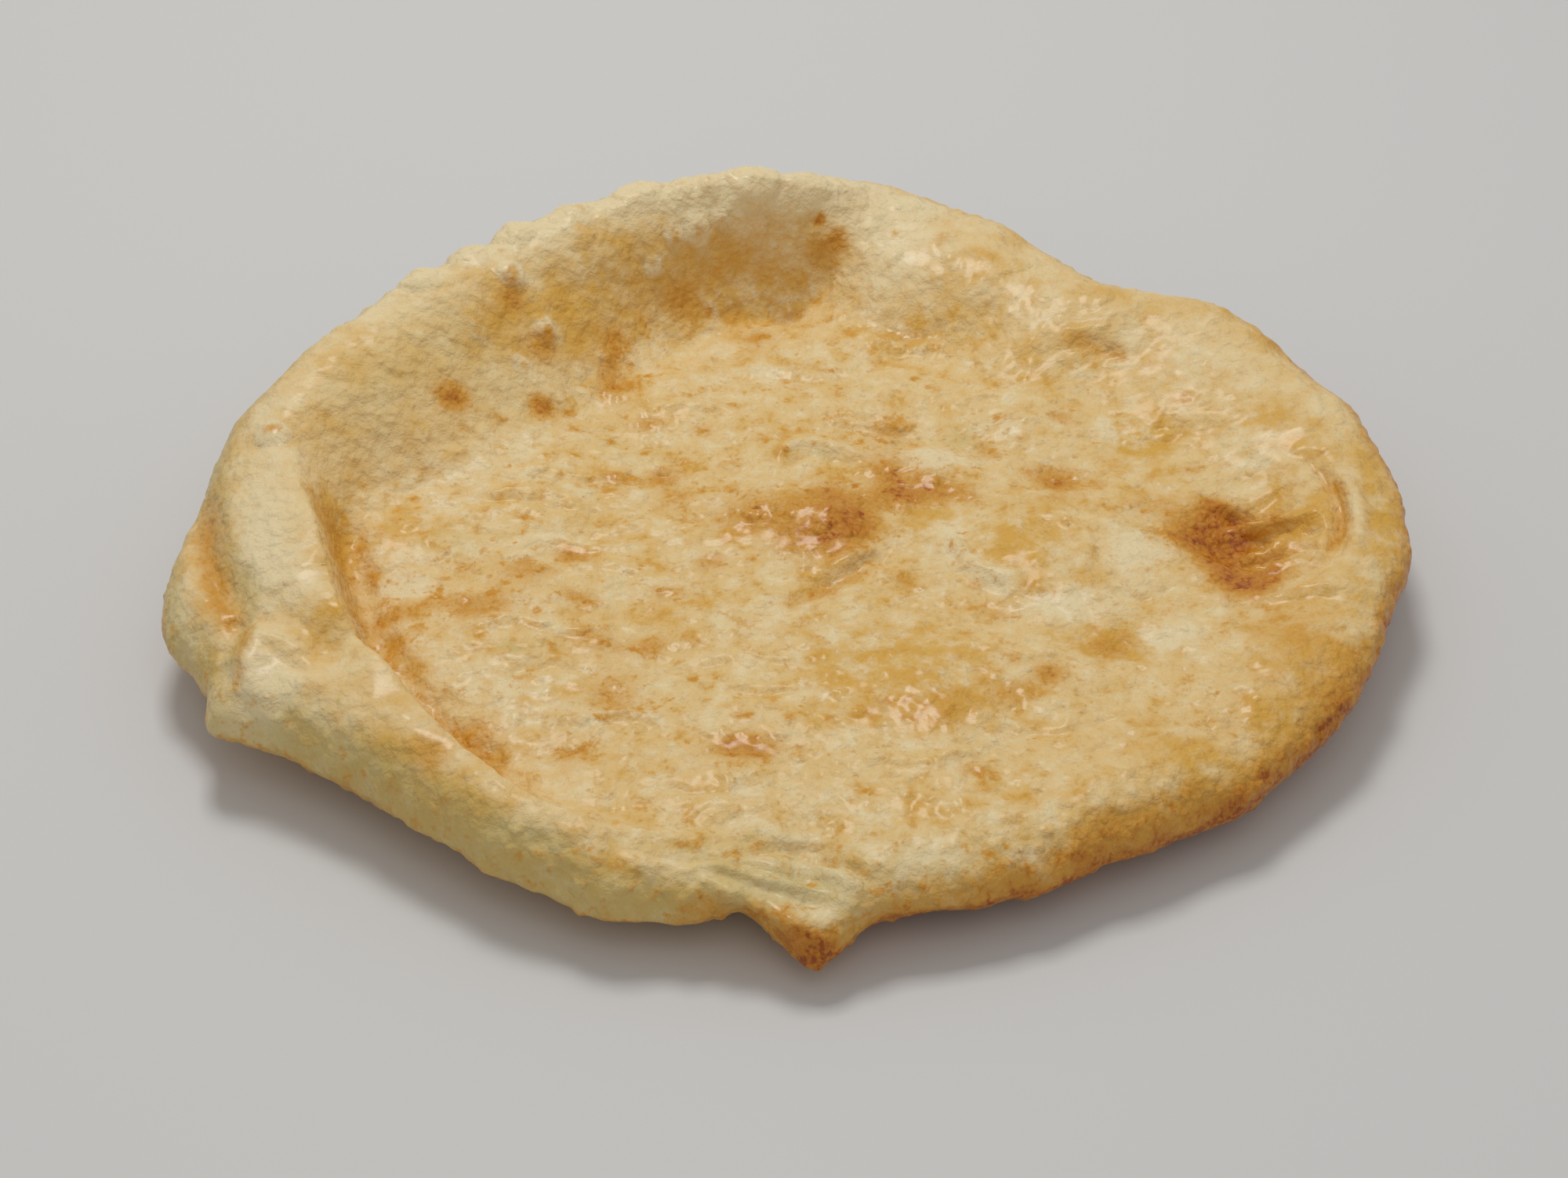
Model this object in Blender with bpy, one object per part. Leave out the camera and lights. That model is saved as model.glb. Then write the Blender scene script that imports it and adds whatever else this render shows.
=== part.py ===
"""A bhatura: one large puffed and deep-fried bread, sagged in the middle and lying on its own base.

The body is one closed solid. A square grid is wrapped to a disc for the top, whose outer rings turn
over a rounded rim, and rings extruded from its edge close the underside down to a small flat base.
Every height comes from the rim stations, the folds and the swellings named below.
"""

import math

import bmesh
import bpy
import numpy as np

MM = 0.001
SEED = 11

# Rim stations, in order round the bread. Bearings are counter-clockwise from +X, in degrees, and
# the sizes are in millimetres:
# bearing, reach of the edge, lift of the underside there, height of the edge, height of the crest,
# inset of the crest from the edge, width of the fall from the crest to the floor.
RIM = (
    (0, 109.0, 8, 15, 20.5, 9, 22),
    (22, 108.5, 8, 16, 22, 9, 28),
    (38, 106.0, 8, 15.5, 22.5, 10, 30),
    (45, 98.5, 8, 16, 24, 11, 30),
    (50, 95.0, 8, 16, 24.5, 12, 28),
    (57, 97.0, 9, 16.5, 24.5, 12, 30),
    (65, 101.0, 9, 16.5, 25.5, 12, 30),
    (73, 103.5, 10, 17, 26, 12, 32),
    (79, 102.5, 10, 19, 28.5, 11, 27),
    (85, 97.0, 11, 21.5, 34, 10, 18),
    (92, 93.5, 12, 23.5, 38, 10, 14),
    (100, 92.5, 12, 24.5, 38.5, 10, 17),
    (110, 92.0, 12, 24.5, 38, 10, 22),
    (126, 90.5, 12, 24.5, 37, 10, 28),
    (145, 92.5, 12, 24, 35, 9, 34),
    (160, 97.5, 12, 22, 33, 9, 36),
    (172, 102.5, 11, 18, 31, 11, 24),
    (182, 106.5, 10, 15, 30, 22, 8),
    (193, 109.0, 9, 13, 28.5, 28, 6),
    (203, 103.0, 9, 12, 27, 22, 6),
    (214, 95.5, 8, 12, 25.5, 16, 6),
    (228, 91.0, 7, 11, 23.5, 11, 5),
    (239, 90.5, 6.5, 10, 21, 9, 5),
    (249, 90.0, 6, 9, 19, 9, 8),
    (262, 88.5, 5, 9, 17.5, 10, 13),
    (280, 87.5, 5, 10, 17, 11, 18),
    (300, 89.5, 5, 9, 17, 11, 18),
    (320, 96.0, 6, 10, 17.5, 10, 18),
    (340, 103.0, 7, 13, 19, 10, 20),
)

# Corners drawn out of the rim, beyond a crest that stays in place: bearing, half-width in degrees,
# extra reach, extra lift, extra height of the edge, extra height of the crest.
PULLS = (
    (206.5, 3.2, 5.0, 2.0, 0.0, -2.0),
    (272.5, 3.6, 6.0, -1.5, -4.5, -2.5),
    (264.0, 3.0, -1.5, 3.0, 2.0, 0.0),
)

# Small waves of the outline: number round the bread, height in millimetres, phase. The crest
# rises and falls by a share of that.
WAVES = ((9, 0.45, 0.3), (17, 0.4, 1.9), (31, 0.25, 4.0))
CREST_WAVE = 0.35

# The box round those numbers has its middle here, and the finished bread has it at the origin.
MIDDLE = (1.0, 3.7)

# Height of the sagged middle, and the power that draws out the foot of the fall to it.
FLOOR = 16.0
TOE = 1.2

# The flat base as a share of the reach, and the height of the uneven underside round it.
BASE_SHARE = 0.55
UNDER_WAVE = 2.0

# Folds: height (a crease is negative), width of each side, then the points that the line follows.
FOLDS = (
    # groove between the left roll and its outer lip, and the pocket where it ends
    (-4.5, 3.0, (-104, 6), (-101, -8), (-97, -19), (-91, -29)),
    # pinch across the left roll
    (-2.2, 3.5, (-90, -29), (-84, -32), (-78, -36), (-72, -47)),
    # ridge to the drawn-out corner, and the groove that runs out beside it
    (2.2, 3.5, (-88, -34), (-90, -41), (-91, -48)),
    (-2.5, 2.2, (-92, -28), (-92.5, -35), (-95, -42)),
    # foot of the left roll
    (-1.8, 2.6, (-86, 11), (-79, 4), (-76, -5), (-72, -20), (-67, -32), (-57, -47), (-46, -61), (-37, -70)),
    # foot of the back wall, the crease in its corner and the ridge beside that
    (-1.0, 6.0, (-36, 45), (-22, 51), (-6, 60), (7, 71)),
    (-3.0, 2.6, (-4, 69), (4, 74), (10, 77)),
    (1.0, 4.0, (14, 80), (17, 73), (17, 66)),
    # arc and rays round the navel
    (-1.3, 1.8, (90, 19), (95, 13), (96.5, 1), (94, -9), (90, -15)),
    (-1.0, 1.6, (76, -4), (84, -7), (92, -8)),
    (-1.0, 1.6, (76, 1), (85, 2), (93, 3)),
    (-0.9, 1.6, (74, 5), (83, 8), (90, 11)),
    # ridge beside the raised patch right of the middle, and the wrinkles before that
    (0.7, 2.0, (25, 4), (28, -4), (33, -11), (42, -15)),
    (-1.2, 2.0, (-4, -20), (6, -14), (16, -8)),
    (-1.0, 1.8, (3, -13), (10, -9), (19, -3)),
    # valleys to the right and behind
    (-1.2, 5.5, (42, -24), (50, -28), (57, -28), (62, -22)),
    (-1.2, 4.5, (14, 52), (25, 54), (34, 57), (42, 64)),
    # wrinkles that gather towards the front corner
    (-1.0, 2.2, (-38, -70), (-25, -73), (-13, -72), (-2, -69)),
    (-1.0, 2.2, (-30, -77), (-19, -78.5), (-9, -76)),
    (-1.0, 2.2, (-10, -75), (-1, -78), (7, -77)),
)

# Swellings and dents: x, y, height, half-length, half-width, turn in degrees.
SWELLS = (
    (6, 3.5, 3.4, 8.5, 6.5, -10),
    (-4, 6, 1.4, 6.0, 4.5, 0),
    (26, 20, 1.4, 7, 5, -20),
    (40, -6, 2.0, 12, 8, -30),
    (48, 16, -2.0, 6, 4.5, 0),
    (21, -37, 2.4, 22, 13, 10),
    (80, 0, -2.6, 15, 13, 0),
    (77, -1, -3.0, 5.5, 5.0, 0),
    (-22, 66, -2.5, 28, 9, 28),
    (-50, 10, 1.0, 18, 12, 40),
    (-45, -35, 1.2, 14, 9, -50),
    (70, 40, 1.6, 14, 9, -40),
    (31, 71, 2.5, 15, 9, -15),
    (75, -38, 1.5, 14, 9, 50),
)

# Uneven sag of the sheet: size of a patch and its height, largest first.
PATCHES = ((26.0, 1.1), (12.0, 0.7))

# Rings of the grid from the middle to the edge, and of the underside.
FLOOR_RINGS = 17
FALL_RINGS = 5
NOSE_RINGS = 8
UNDER_NOSE_RINGS = 3
UNDER_RINGS = 5

BREAD_COLOUR = (0.66, 0.43, 0.17, 1.0)
BREAD_ROUGHNESS = 0.45


def smooth(t):
    """Nought to one with level ends."""
    t = np.clip(t, 0.0, 1.0)
    return t * t * (3.0 - 2.0 * t)


def hermite(t, start, end, start_slope, end_slope):
    """The cubic from start to end with the given slopes, for t from nought to one."""
    t2 = t * t
    t3 = t2 * t
    return (
        start * (2.0 * t3 - 3.0 * t2 + 1.0)
        + start_slope * (t3 - 2.0 * t2 + t)
        + end * (3.0 * t2 - 2.0 * t3)
        + end_slope * (t3 - t2)
    )


def rim_values(bearing):
    """Reach, lift, edge, crest, inset and fall at each bearing, smooth all the way round."""
    table = np.array(RIM, float)
    turn = np.array([360.0] + [0.0] * (table.shape[1] - 1))
    table = np.concatenate([table[-2:] - turn, table, table[:2] + turn])
    at, values = table[:, 0], table[:, 1:]
    slopes = (values[2:] - values[:-2]) / (at[2:] - at[:-2])[:, None]
    degrees = np.degrees(bearing) % 360.0
    left = np.clip(np.searchsorted(at, degrees, side="right") - 1, 1, len(at) - 3)
    gap = at[left + 1] - at[left]
    t = ((degrees - at[left]) / gap)[:, None]
    span = gap[:, None]
    found = hermite(t, values[left], values[left + 1], slopes[left - 1] * span, slopes[left] * span)
    for centre, half, reach, lift, edge, crest in PULLS:
        away = (degrees - centre + 180.0) % 360.0 - 180.0
        pull = np.exp(-((away / half) ** 2))
        found[:, :5] += pull[:, None] * np.array([reach, lift, edge, crest, reach])
    for number, height, phase in WAVES:
        wave = height * np.sin(number * bearing + phase)
        found[:, 0] += wave
        found[:, 4] += wave
        found[:, 3] += CREST_WAVE * height * np.cos(number * bearing + phase)
    return found.T


def smooth_line(points, steps):
    """Points along a smooth curve through the given ones."""
    points = np.array(points, float)
    padded = np.concatenate([[2 * points[0] - points[1]], points, [2 * points[-1] - points[-2]]])
    slopes = (padded[2:] - padded[:-2]) / 2
    t = np.linspace(0.0, 1.0, steps, endpoint=False)[:, None]
    parts = [
        hermite(t, points[i], points[i + 1], slopes[i], slopes[i + 1])
        for i in range(len(points) - 1)
    ]
    return np.concatenate(parts + [points[-1:]])


def distance_to_line(x, y, points, steps=6):
    """Distance to the smooth line through the points, and a strength that fades at its two ends."""
    curve = smooth_line(points, steps)
    share = np.linspace(0.0, 1.0, len(curve))
    nearest = np.full(x.shape, np.inf)
    along = np.zeros(x.shape)
    for (ax, ay), (bx, by), start, end in zip(curve[:-1], curve[1:], share[:-1], share[1:]):
        dx, dy = bx - ax, by - ay
        at = np.clip(((x - ax) * dx + (y - ay) * dy) / (dx * dx + dy * dy), 0.0, 1.0)
        gap = np.hypot(x - ax - at * dx, y - ay - at * dy)
        closer = gap < nearest
        nearest = np.where(closer, gap, nearest)
        along = np.where(closer, start + at * (end - start), along)
    return nearest, 0.3 + 0.7 * smooth(along / 0.2) * smooth((1.0 - along) / 0.2)


def patches(x, y, size, seed):
    """Smooth random heights from minus one to one, one drawn for each corner of a square lattice."""
    draws = np.random.default_rng(seed).uniform(-1.0, 1.0, (64, 64))
    u, v = x / size + 32.0, y / size + 32.0
    i, j = np.floor(u).astype(int), np.floor(v).astype(int)
    s, t = smooth(u - i), smooth(v - j)
    i, j = i % 63, j % 63
    near = draws[i, j] * (1 - s) + draws[i + 1, j] * s
    far = draws[i, j + 1] * (1 - s) + draws[i + 1, j + 1] * s
    return near * (1 - t) + far * t


def relief(x, y):
    """Height of the folds, swellings and uneven sag at a place on the top."""
    height = np.zeros(x.shape)
    for rise, width, *points in FOLDS:
        gap, fade = distance_to_line(x, y, points)
        height += rise * fade * np.exp(-((gap / width) ** 2))
    for cx, cy, rise, half_length, half_width, turn in SWELLS:
        c, s = math.cos(math.radians(turn)), math.sin(math.radians(turn))
        along = ((x - cx) * c + (y - cy) * s) / half_length
        across = ((y - cy) * c - (x - cx) * s) / half_width
        height += rise * np.exp(-(along**2 + across**2))
    for k, (size, rise) in enumerate(PATCHES):
        height += rise * patches(x, y, size, SEED + k)
    return height


def top_surface(bearing, ring):
    """Points of the top: ring is nought in the middle and one at the edge's widest line."""
    reach, lift, edge, crest, inset, fall = rim_values(bearing)
    rings = FLOOR_RINGS + FALL_RINGS + NOSE_RINGS
    count = ring * rings
    floor_share = np.clip(count / FLOOR_RINGS, 0.0, 1.0)
    fall_share = np.clip((count - FLOOR_RINGS) / FALL_RINGS, 0.0, 1.0)
    nose_turn = np.clip((count - FLOOR_RINGS - FALL_RINGS) / NOSE_RINGS, 0.0, 1.0) * math.pi / 2
    flat_reach = reach - inset - fall
    radius = flat_reach * floor_share + fall * fall_share + inset * np.sin(nose_turn)
    x, y = radius * np.cos(bearing), radius * np.sin(bearing)
    sheet = FLOOR + (crest - FLOOR) * smooth(fall_share) ** TOE + relief(x, y)
    return x, y, edge + (sheet - edge) * np.cos(nose_turn)


def under_surface(bearing, turn, share):
    """Points of the underside: turn rounds the lower nose, share then runs in to the flat base."""
    reach, lift, edge, _, inset, _ = rim_values(bearing)
    nose = 0.7 * inset
    base = BASE_SHARE * reach
    radius = (reach - nose * (1.0 - math.cos(turn))) * (1.0 - share) + base * share
    x, y = radius * np.cos(bearing), radius * np.sin(bearing)
    lift = lift + UNDER_WAVE * patches(x, y, PATCHES[0][0], SEED)
    raised = lift * ((radius - base) / (reach - base)) ** 2
    return x, y, raised + (edge - raised) * (1.0 - math.sin(turn))


def wrapped_grid(bm, segments):
    """A square grid bent round to a disc: each vertex's bearing, and its ring from nought to one."""
    bmesh.ops.create_grid(bm, x_segments=segments, y_segments=segments, size=1.0)
    bm.verts.ensure_lookup_table()
    flat = np.array([vert.co[:2] for vert in bm.verts], float)
    u, v = flat[:, 0], flat[:, 1]
    ring = np.maximum(np.abs(u), np.abs(v))
    wide = np.abs(u) >= np.abs(v)
    main = np.where(wide, u, v)
    main = np.where(np.abs(main) < 1e-6, 1.0, main)
    turn = np.where(wide, v, -u) / main * math.pi / 4
    start = np.where(wide, np.where(u < 0, math.pi, 0.0), np.where(v < 0, 1.5, 0.5) * math.pi)
    return start + turn, ring


def set_points(verts, x, y, z):
    """Moves the vertices to the points, given in millimetres from the rim's own centre."""
    points = np.stack([x - MIDDLE[0], y - MIDDLE[1], z], axis=1) * MM
    for vert, point in zip(verts, points):
        vert.co = point


def bread_mesh():
    """The whole bread as one closed mesh."""
    bm = bmesh.new()
    segments = 2 * (FLOOR_RINGS + FALL_RINGS + NOSE_RINGS)
    bearing, ring = wrapped_grid(bm, segments)
    set_points(bm.verts, *top_surface(bearing, ring))

    border = [edge for edge in bm.edges if edge.is_boundary]
    turns = [(k / UNDER_NOSE_RINGS * math.pi / 2, 0.0) for k in range(1, UNDER_NOSE_RINGS + 1)]
    runs = [(math.pi / 2, k / UNDER_RINGS) for k in range(1, UNDER_RINGS + 1)]
    for turn, share in turns + runs:
        grown = bmesh.ops.extrude_edge_only(bm, edges=border)["geom"]
        verts = [item for item in grown if isinstance(item, bmesh.types.BMVert)]
        border = [item for item in grown if isinstance(item, bmesh.types.BMEdge) and item.is_boundary]
        at = np.array(
            [math.atan2(vert.co.y / MM + MIDDLE[1], vert.co.x / MM + MIDDLE[0]) for vert in verts]
        )
        set_points(verts, *under_surface(at, turn, share))
    bmesh.ops.contextual_create(bm, geom=border)

    quads = [face for face in bm.faces if len(face.verts) == 4]
    bmesh.ops.triangulate(bm, faces=quads, quad_method="BEAUTY")
    bmesh.ops.recalc_face_normals(bm, faces=bm.faces)
    mesh = bpy.data.meshes.new("bhatura")
    bm.to_mesh(mesh)
    bm.free()
    mesh.shade_smooth()
    return mesh


def bread_material():
    """Fried dough: golden, with a thin oily shine."""
    material = bpy.data.materials.new("fried_dough")
    material.use_nodes = True
    shader = material.node_tree.nodes["Principled BSDF"]
    shader.inputs["Base Color"].default_value = BREAD_COLOUR
    shader.inputs["Roughness"].default_value = BREAD_ROUGHNESS
    shader.inputs["Metallic"].default_value = 0.0
    return material


def main():
    for item in list(bpy.data.objects):
        bpy.data.objects.remove(item, do_unlink=True)
    mesh = bread_mesh()
    mesh.materials.append(bread_material())
    bpy.context.collection.objects.link(bpy.data.objects.new("bhatura", mesh))


main()
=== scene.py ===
"""The looks of a bhatura, laid out as a Blender add-on: the bread and the stage that it is shown on.

Shapes are worked out in millimetres from the rim's own centre and go into the mesh in metres. The
rim stations, folds, swellings and patches repeat the solid's, and the fine skin is added to them.
"""

import math

import bpy
import numpy as np
from bpy.props import FloatProperty, FloatVectorProperty, IntProperty, PointerProperty
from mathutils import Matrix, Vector


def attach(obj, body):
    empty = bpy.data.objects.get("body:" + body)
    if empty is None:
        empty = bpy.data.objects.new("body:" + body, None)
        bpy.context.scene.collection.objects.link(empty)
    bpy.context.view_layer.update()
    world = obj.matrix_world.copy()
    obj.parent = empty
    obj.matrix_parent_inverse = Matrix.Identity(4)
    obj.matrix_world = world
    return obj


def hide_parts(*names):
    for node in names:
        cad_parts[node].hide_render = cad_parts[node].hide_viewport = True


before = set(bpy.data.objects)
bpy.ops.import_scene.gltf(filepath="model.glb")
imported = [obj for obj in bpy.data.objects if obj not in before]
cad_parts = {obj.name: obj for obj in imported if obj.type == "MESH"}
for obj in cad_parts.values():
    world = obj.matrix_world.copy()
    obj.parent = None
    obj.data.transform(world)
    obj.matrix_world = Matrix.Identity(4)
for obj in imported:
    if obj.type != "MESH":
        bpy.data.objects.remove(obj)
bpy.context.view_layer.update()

bl_info = {
    "name": "Bhatura",
    "version": (1, 0, 0),
    "blender": (4, 5, 0),
    "location": "3D View > Sidebar > Bhatura",
    "description": "Makes a puffed fried bread and a plain stage for it",
    "category": "Add Mesh",
}

MM = 0.001
SEED = 11

# Rim stations, in order round the bread. Bearings are counter-clockwise from +X, in degrees, and
# the sizes are in millimetres:
# bearing, reach of the edge, lift of the underside there, height of the edge, height of the crest,
# inset of the crest from the edge, width of the fall from the crest to the floor.
RIM = (
    (0, 109.0, 8, 15, 20.5, 9, 22),
    (22, 108.5, 8, 16, 22, 9, 28),
    (38, 106.0, 8, 15.5, 22.5, 10, 30),
    (45, 98.5, 8, 16, 24, 11, 30),
    (50, 95.0, 8, 16, 24.5, 12, 28),
    (57, 97.0, 9, 16.5, 24.5, 12, 30),
    (65, 101.0, 9, 16.5, 25.5, 12, 30),
    (73, 103.5, 10, 17, 26, 12, 32),
    (79, 102.5, 10, 19, 28.5, 11, 27),
    (85, 97.0, 11, 21.5, 34, 10, 18),
    (92, 93.5, 12, 23.5, 38, 10, 14),
    (100, 92.5, 12, 24.5, 38.5, 10, 17),
    (110, 92.0, 12, 24.5, 38, 10, 22),
    (126, 90.5, 12, 24.5, 37, 10, 28),
    (145, 92.5, 12, 24, 35, 9, 34),
    (160, 97.5, 12, 22, 33, 9, 36),
    (172, 102.5, 11, 18, 31, 11, 24),
    (182, 106.5, 10, 15, 30, 22, 8),
    (193, 109.0, 9, 13, 28.5, 28, 6),
    (203, 103.0, 9, 12, 27, 22, 6),
    (214, 95.5, 8, 12, 25.5, 16, 6),
    (228, 91.0, 7, 11, 23.5, 11, 5),
    (239, 90.5, 6.5, 10, 21, 9, 5),
    (249, 90.0, 6, 9, 19, 9, 8),
    (262, 88.5, 5, 9, 17.5, 10, 13),
    (280, 87.5, 5, 10, 17, 11, 18),
    (300, 89.5, 5, 9, 17, 11, 18),
    (320, 96.0, 6, 10, 17.5, 10, 18),
    (340, 103.0, 7, 13, 19, 10, 20),
)

# Corners drawn out of the rim, beyond a crest that stays in place: bearing, half-width in degrees,
# extra reach, extra lift, extra height of the edge, extra height of the crest.
PULLS = (
    (206.5, 3.2, 5.0, 2.0, 0.0, -2.0),
    (272.5, 3.6, 6.0, -1.5, -4.5, -2.5),
    (264.0, 3.0, -1.5, 3.0, 2.0, 0.0),
)

# Small waves of the outline: number round the bread, height in millimetres, phase. The crest
# rises and falls by a share of that.
WAVES = ((9, 0.45, 0.3), (17, 0.4, 1.9), (31, 0.25, 4.0))
CREST_WAVE = 0.35

# The box round those numbers has its middle here, and the finished bread has it at the origin.
MIDDLE = (1.0, 3.7)

# Height of the sagged middle, and the power that draws out the foot of the fall to it.
FLOOR = 16.0
TOE = 1.2

# The flat base as a share of the reach, and the height of the uneven underside round it.
BASE_SHARE = 0.55
UNDER_WAVE = 2.0

# The grid of the base ends at this share of the base's own edge, and fans of triangles join the two.
BASE_GRID_SHARE = 0.985

# Folds: height (a crease is negative), width of each side, then the points that the line follows.
FOLDS = (
    # groove between the left roll and its outer lip, and the pocket where it ends
    (-4.5, 3.0, (-104, 6), (-101, -8), (-97, -19), (-91, -29)),
    # pinch across the left roll
    (-2.2, 3.5, (-90, -29), (-84, -32), (-78, -36), (-72, -47)),
    # ridge to the drawn-out corner, and the groove that runs out beside it
    (2.2, 3.5, (-88, -34), (-90, -41), (-91, -48)),
    (-2.5, 2.2, (-92, -28), (-92.5, -35), (-95, -42)),
    # foot of the left roll
    (-1.8, 2.6, (-86, 11), (-79, 4), (-76, -5), (-72, -20), (-67, -32), (-57, -47), (-46, -61), (-37, -70)),
    # foot of the back wall, the crease in its corner and the ridge beside that
    (-1.0, 6.0, (-36, 45), (-22, 51), (-6, 60), (7, 71)),
    (-3.0, 2.6, (-4, 69), (4, 74), (10, 77)),
    (1.0, 4.0, (14, 80), (17, 73), (17, 66)),
    # arc and rays round the navel
    (-1.3, 1.8, (90, 19), (95, 13), (96.5, 1), (94, -9), (90, -15)),
    (-1.0, 1.6, (76, -4), (84, -7), (92, -8)),
    (-1.0, 1.6, (76, 1), (85, 2), (93, 3)),
    (-0.9, 1.6, (74, 5), (83, 8), (90, 11)),
    # ridge beside the raised patch right of the middle, and the wrinkles before that
    (0.7, 2.0, (25, 4), (28, -4), (33, -11), (42, -15)),
    (-1.2, 2.0, (-4, -20), (6, -14), (16, -8)),
    (-1.0, 1.8, (3, -13), (10, -9), (19, -3)),
    # valleys to the right and behind
    (-1.2, 5.5, (42, -24), (50, -28), (57, -28), (62, -22)),
    (-1.2, 4.5, (14, 52), (25, 54), (34, 57), (42, 64)),
    # wrinkles that gather towards the front corner
    (-1.0, 2.2, (-38, -70), (-25, -73), (-13, -72), (-2, -69)),
    (-1.0, 2.2, (-30, -77), (-19, -78.5), (-9, -76)),
    (-1.0, 2.2, (-10, -75), (-1, -78), (7, -77)),
)

# Swellings and dents: x, y, height, half-length, half-width, turn in degrees.
SWELLS = (
    (6, 3.5, 3.4, 8.5, 6.5, -10),
    (-4, 6, 1.4, 6.0, 4.5, 0),
    (26, 20, 1.4, 7, 5, -20),
    (40, -6, 2.0, 12, 8, -30),
    (48, 16, -2.0, 6, 4.5, 0),
    (21, -37, 2.4, 22, 13, 10),
    (80, 0, -2.6, 15, 13, 0),
    (77, -1, -3.0, 5.5, 5.0, 0),
    (-22, 66, -2.5, 28, 9, 28),
    (-50, 10, 1.0, 18, 12, 40),
    (-45, -35, 1.2, 14, 9, -50),
    (70, 40, 1.6, 14, 9, -40),
    (31, 71, 2.5, 15, 9, -15),
    (75, -38, 1.5, 14, 9, 50),
)

# Uneven sag of the sheet: size of a patch and its height, largest first.
PATCHES = ((26.0, 1.1), (12.0, 0.7))

# Single blisters as large as a lentil: x, y, z, radius, height.
BLISTERS = (
    (-51.6, 54.9, 33.8, 2.8, 1.6),
    (-45.2, 48.2, 25.6, 2.4, 1.5),
    (-34.2, 50.0, 18.3, 1.8, 1.0),
    (-90.4, 10.1, 30.4, 3.0, 1.5),
    (-17.5, 74.6, 30.5, 2.6, 1.2),
    (-21.9, 72.7, 30.6, 2.2, 1.1),
    (-25.9, 68.2, 26.7, 1.9, 0.8),
    (-13.0, 76.8, 31.7, 1.8, 0.9),
    (-60.8, 31.0, 24.4, 1.3, 0.8),
    (-57.1, 42.4, 29.6, 1.8, 0.8),
    (-49.3, 40.8, 23.4, 1.8, 0.8),
    (-67.0, 37.0, 32.0, 1.8, 0.6),
    (-22.8, 19.4, 14.7, 1.3, 0.6),
    (-29.0, 79.5, 36.4, 5.0, 1.2),
    (-20.5, 80.5, 37.0, 2.6, 0.7),
    (-15.2, 81.0, 37.2, 2.4, 0.8),
    (-6.6, 83.5, 36.9, 5.5, 1.0),
    (-52.0, 66.5, 35.6, 4.6, 1.5),
    (-60.0, 59.5, 35.3, 4.0, 1.3),
    (-41.0, 72.5, 36.6, 3.6, 0.9),
    (-68.0, 51.0, 34.5, 4.2, 1.3),
    (4.0, 85.0, 35.5, 5.0, 0.9),
    (24.0, 88.0, 27.5, 2.2, 0.5),
    (7.0, 4.0, 19.0, 1.6, 0.5),
)

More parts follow.
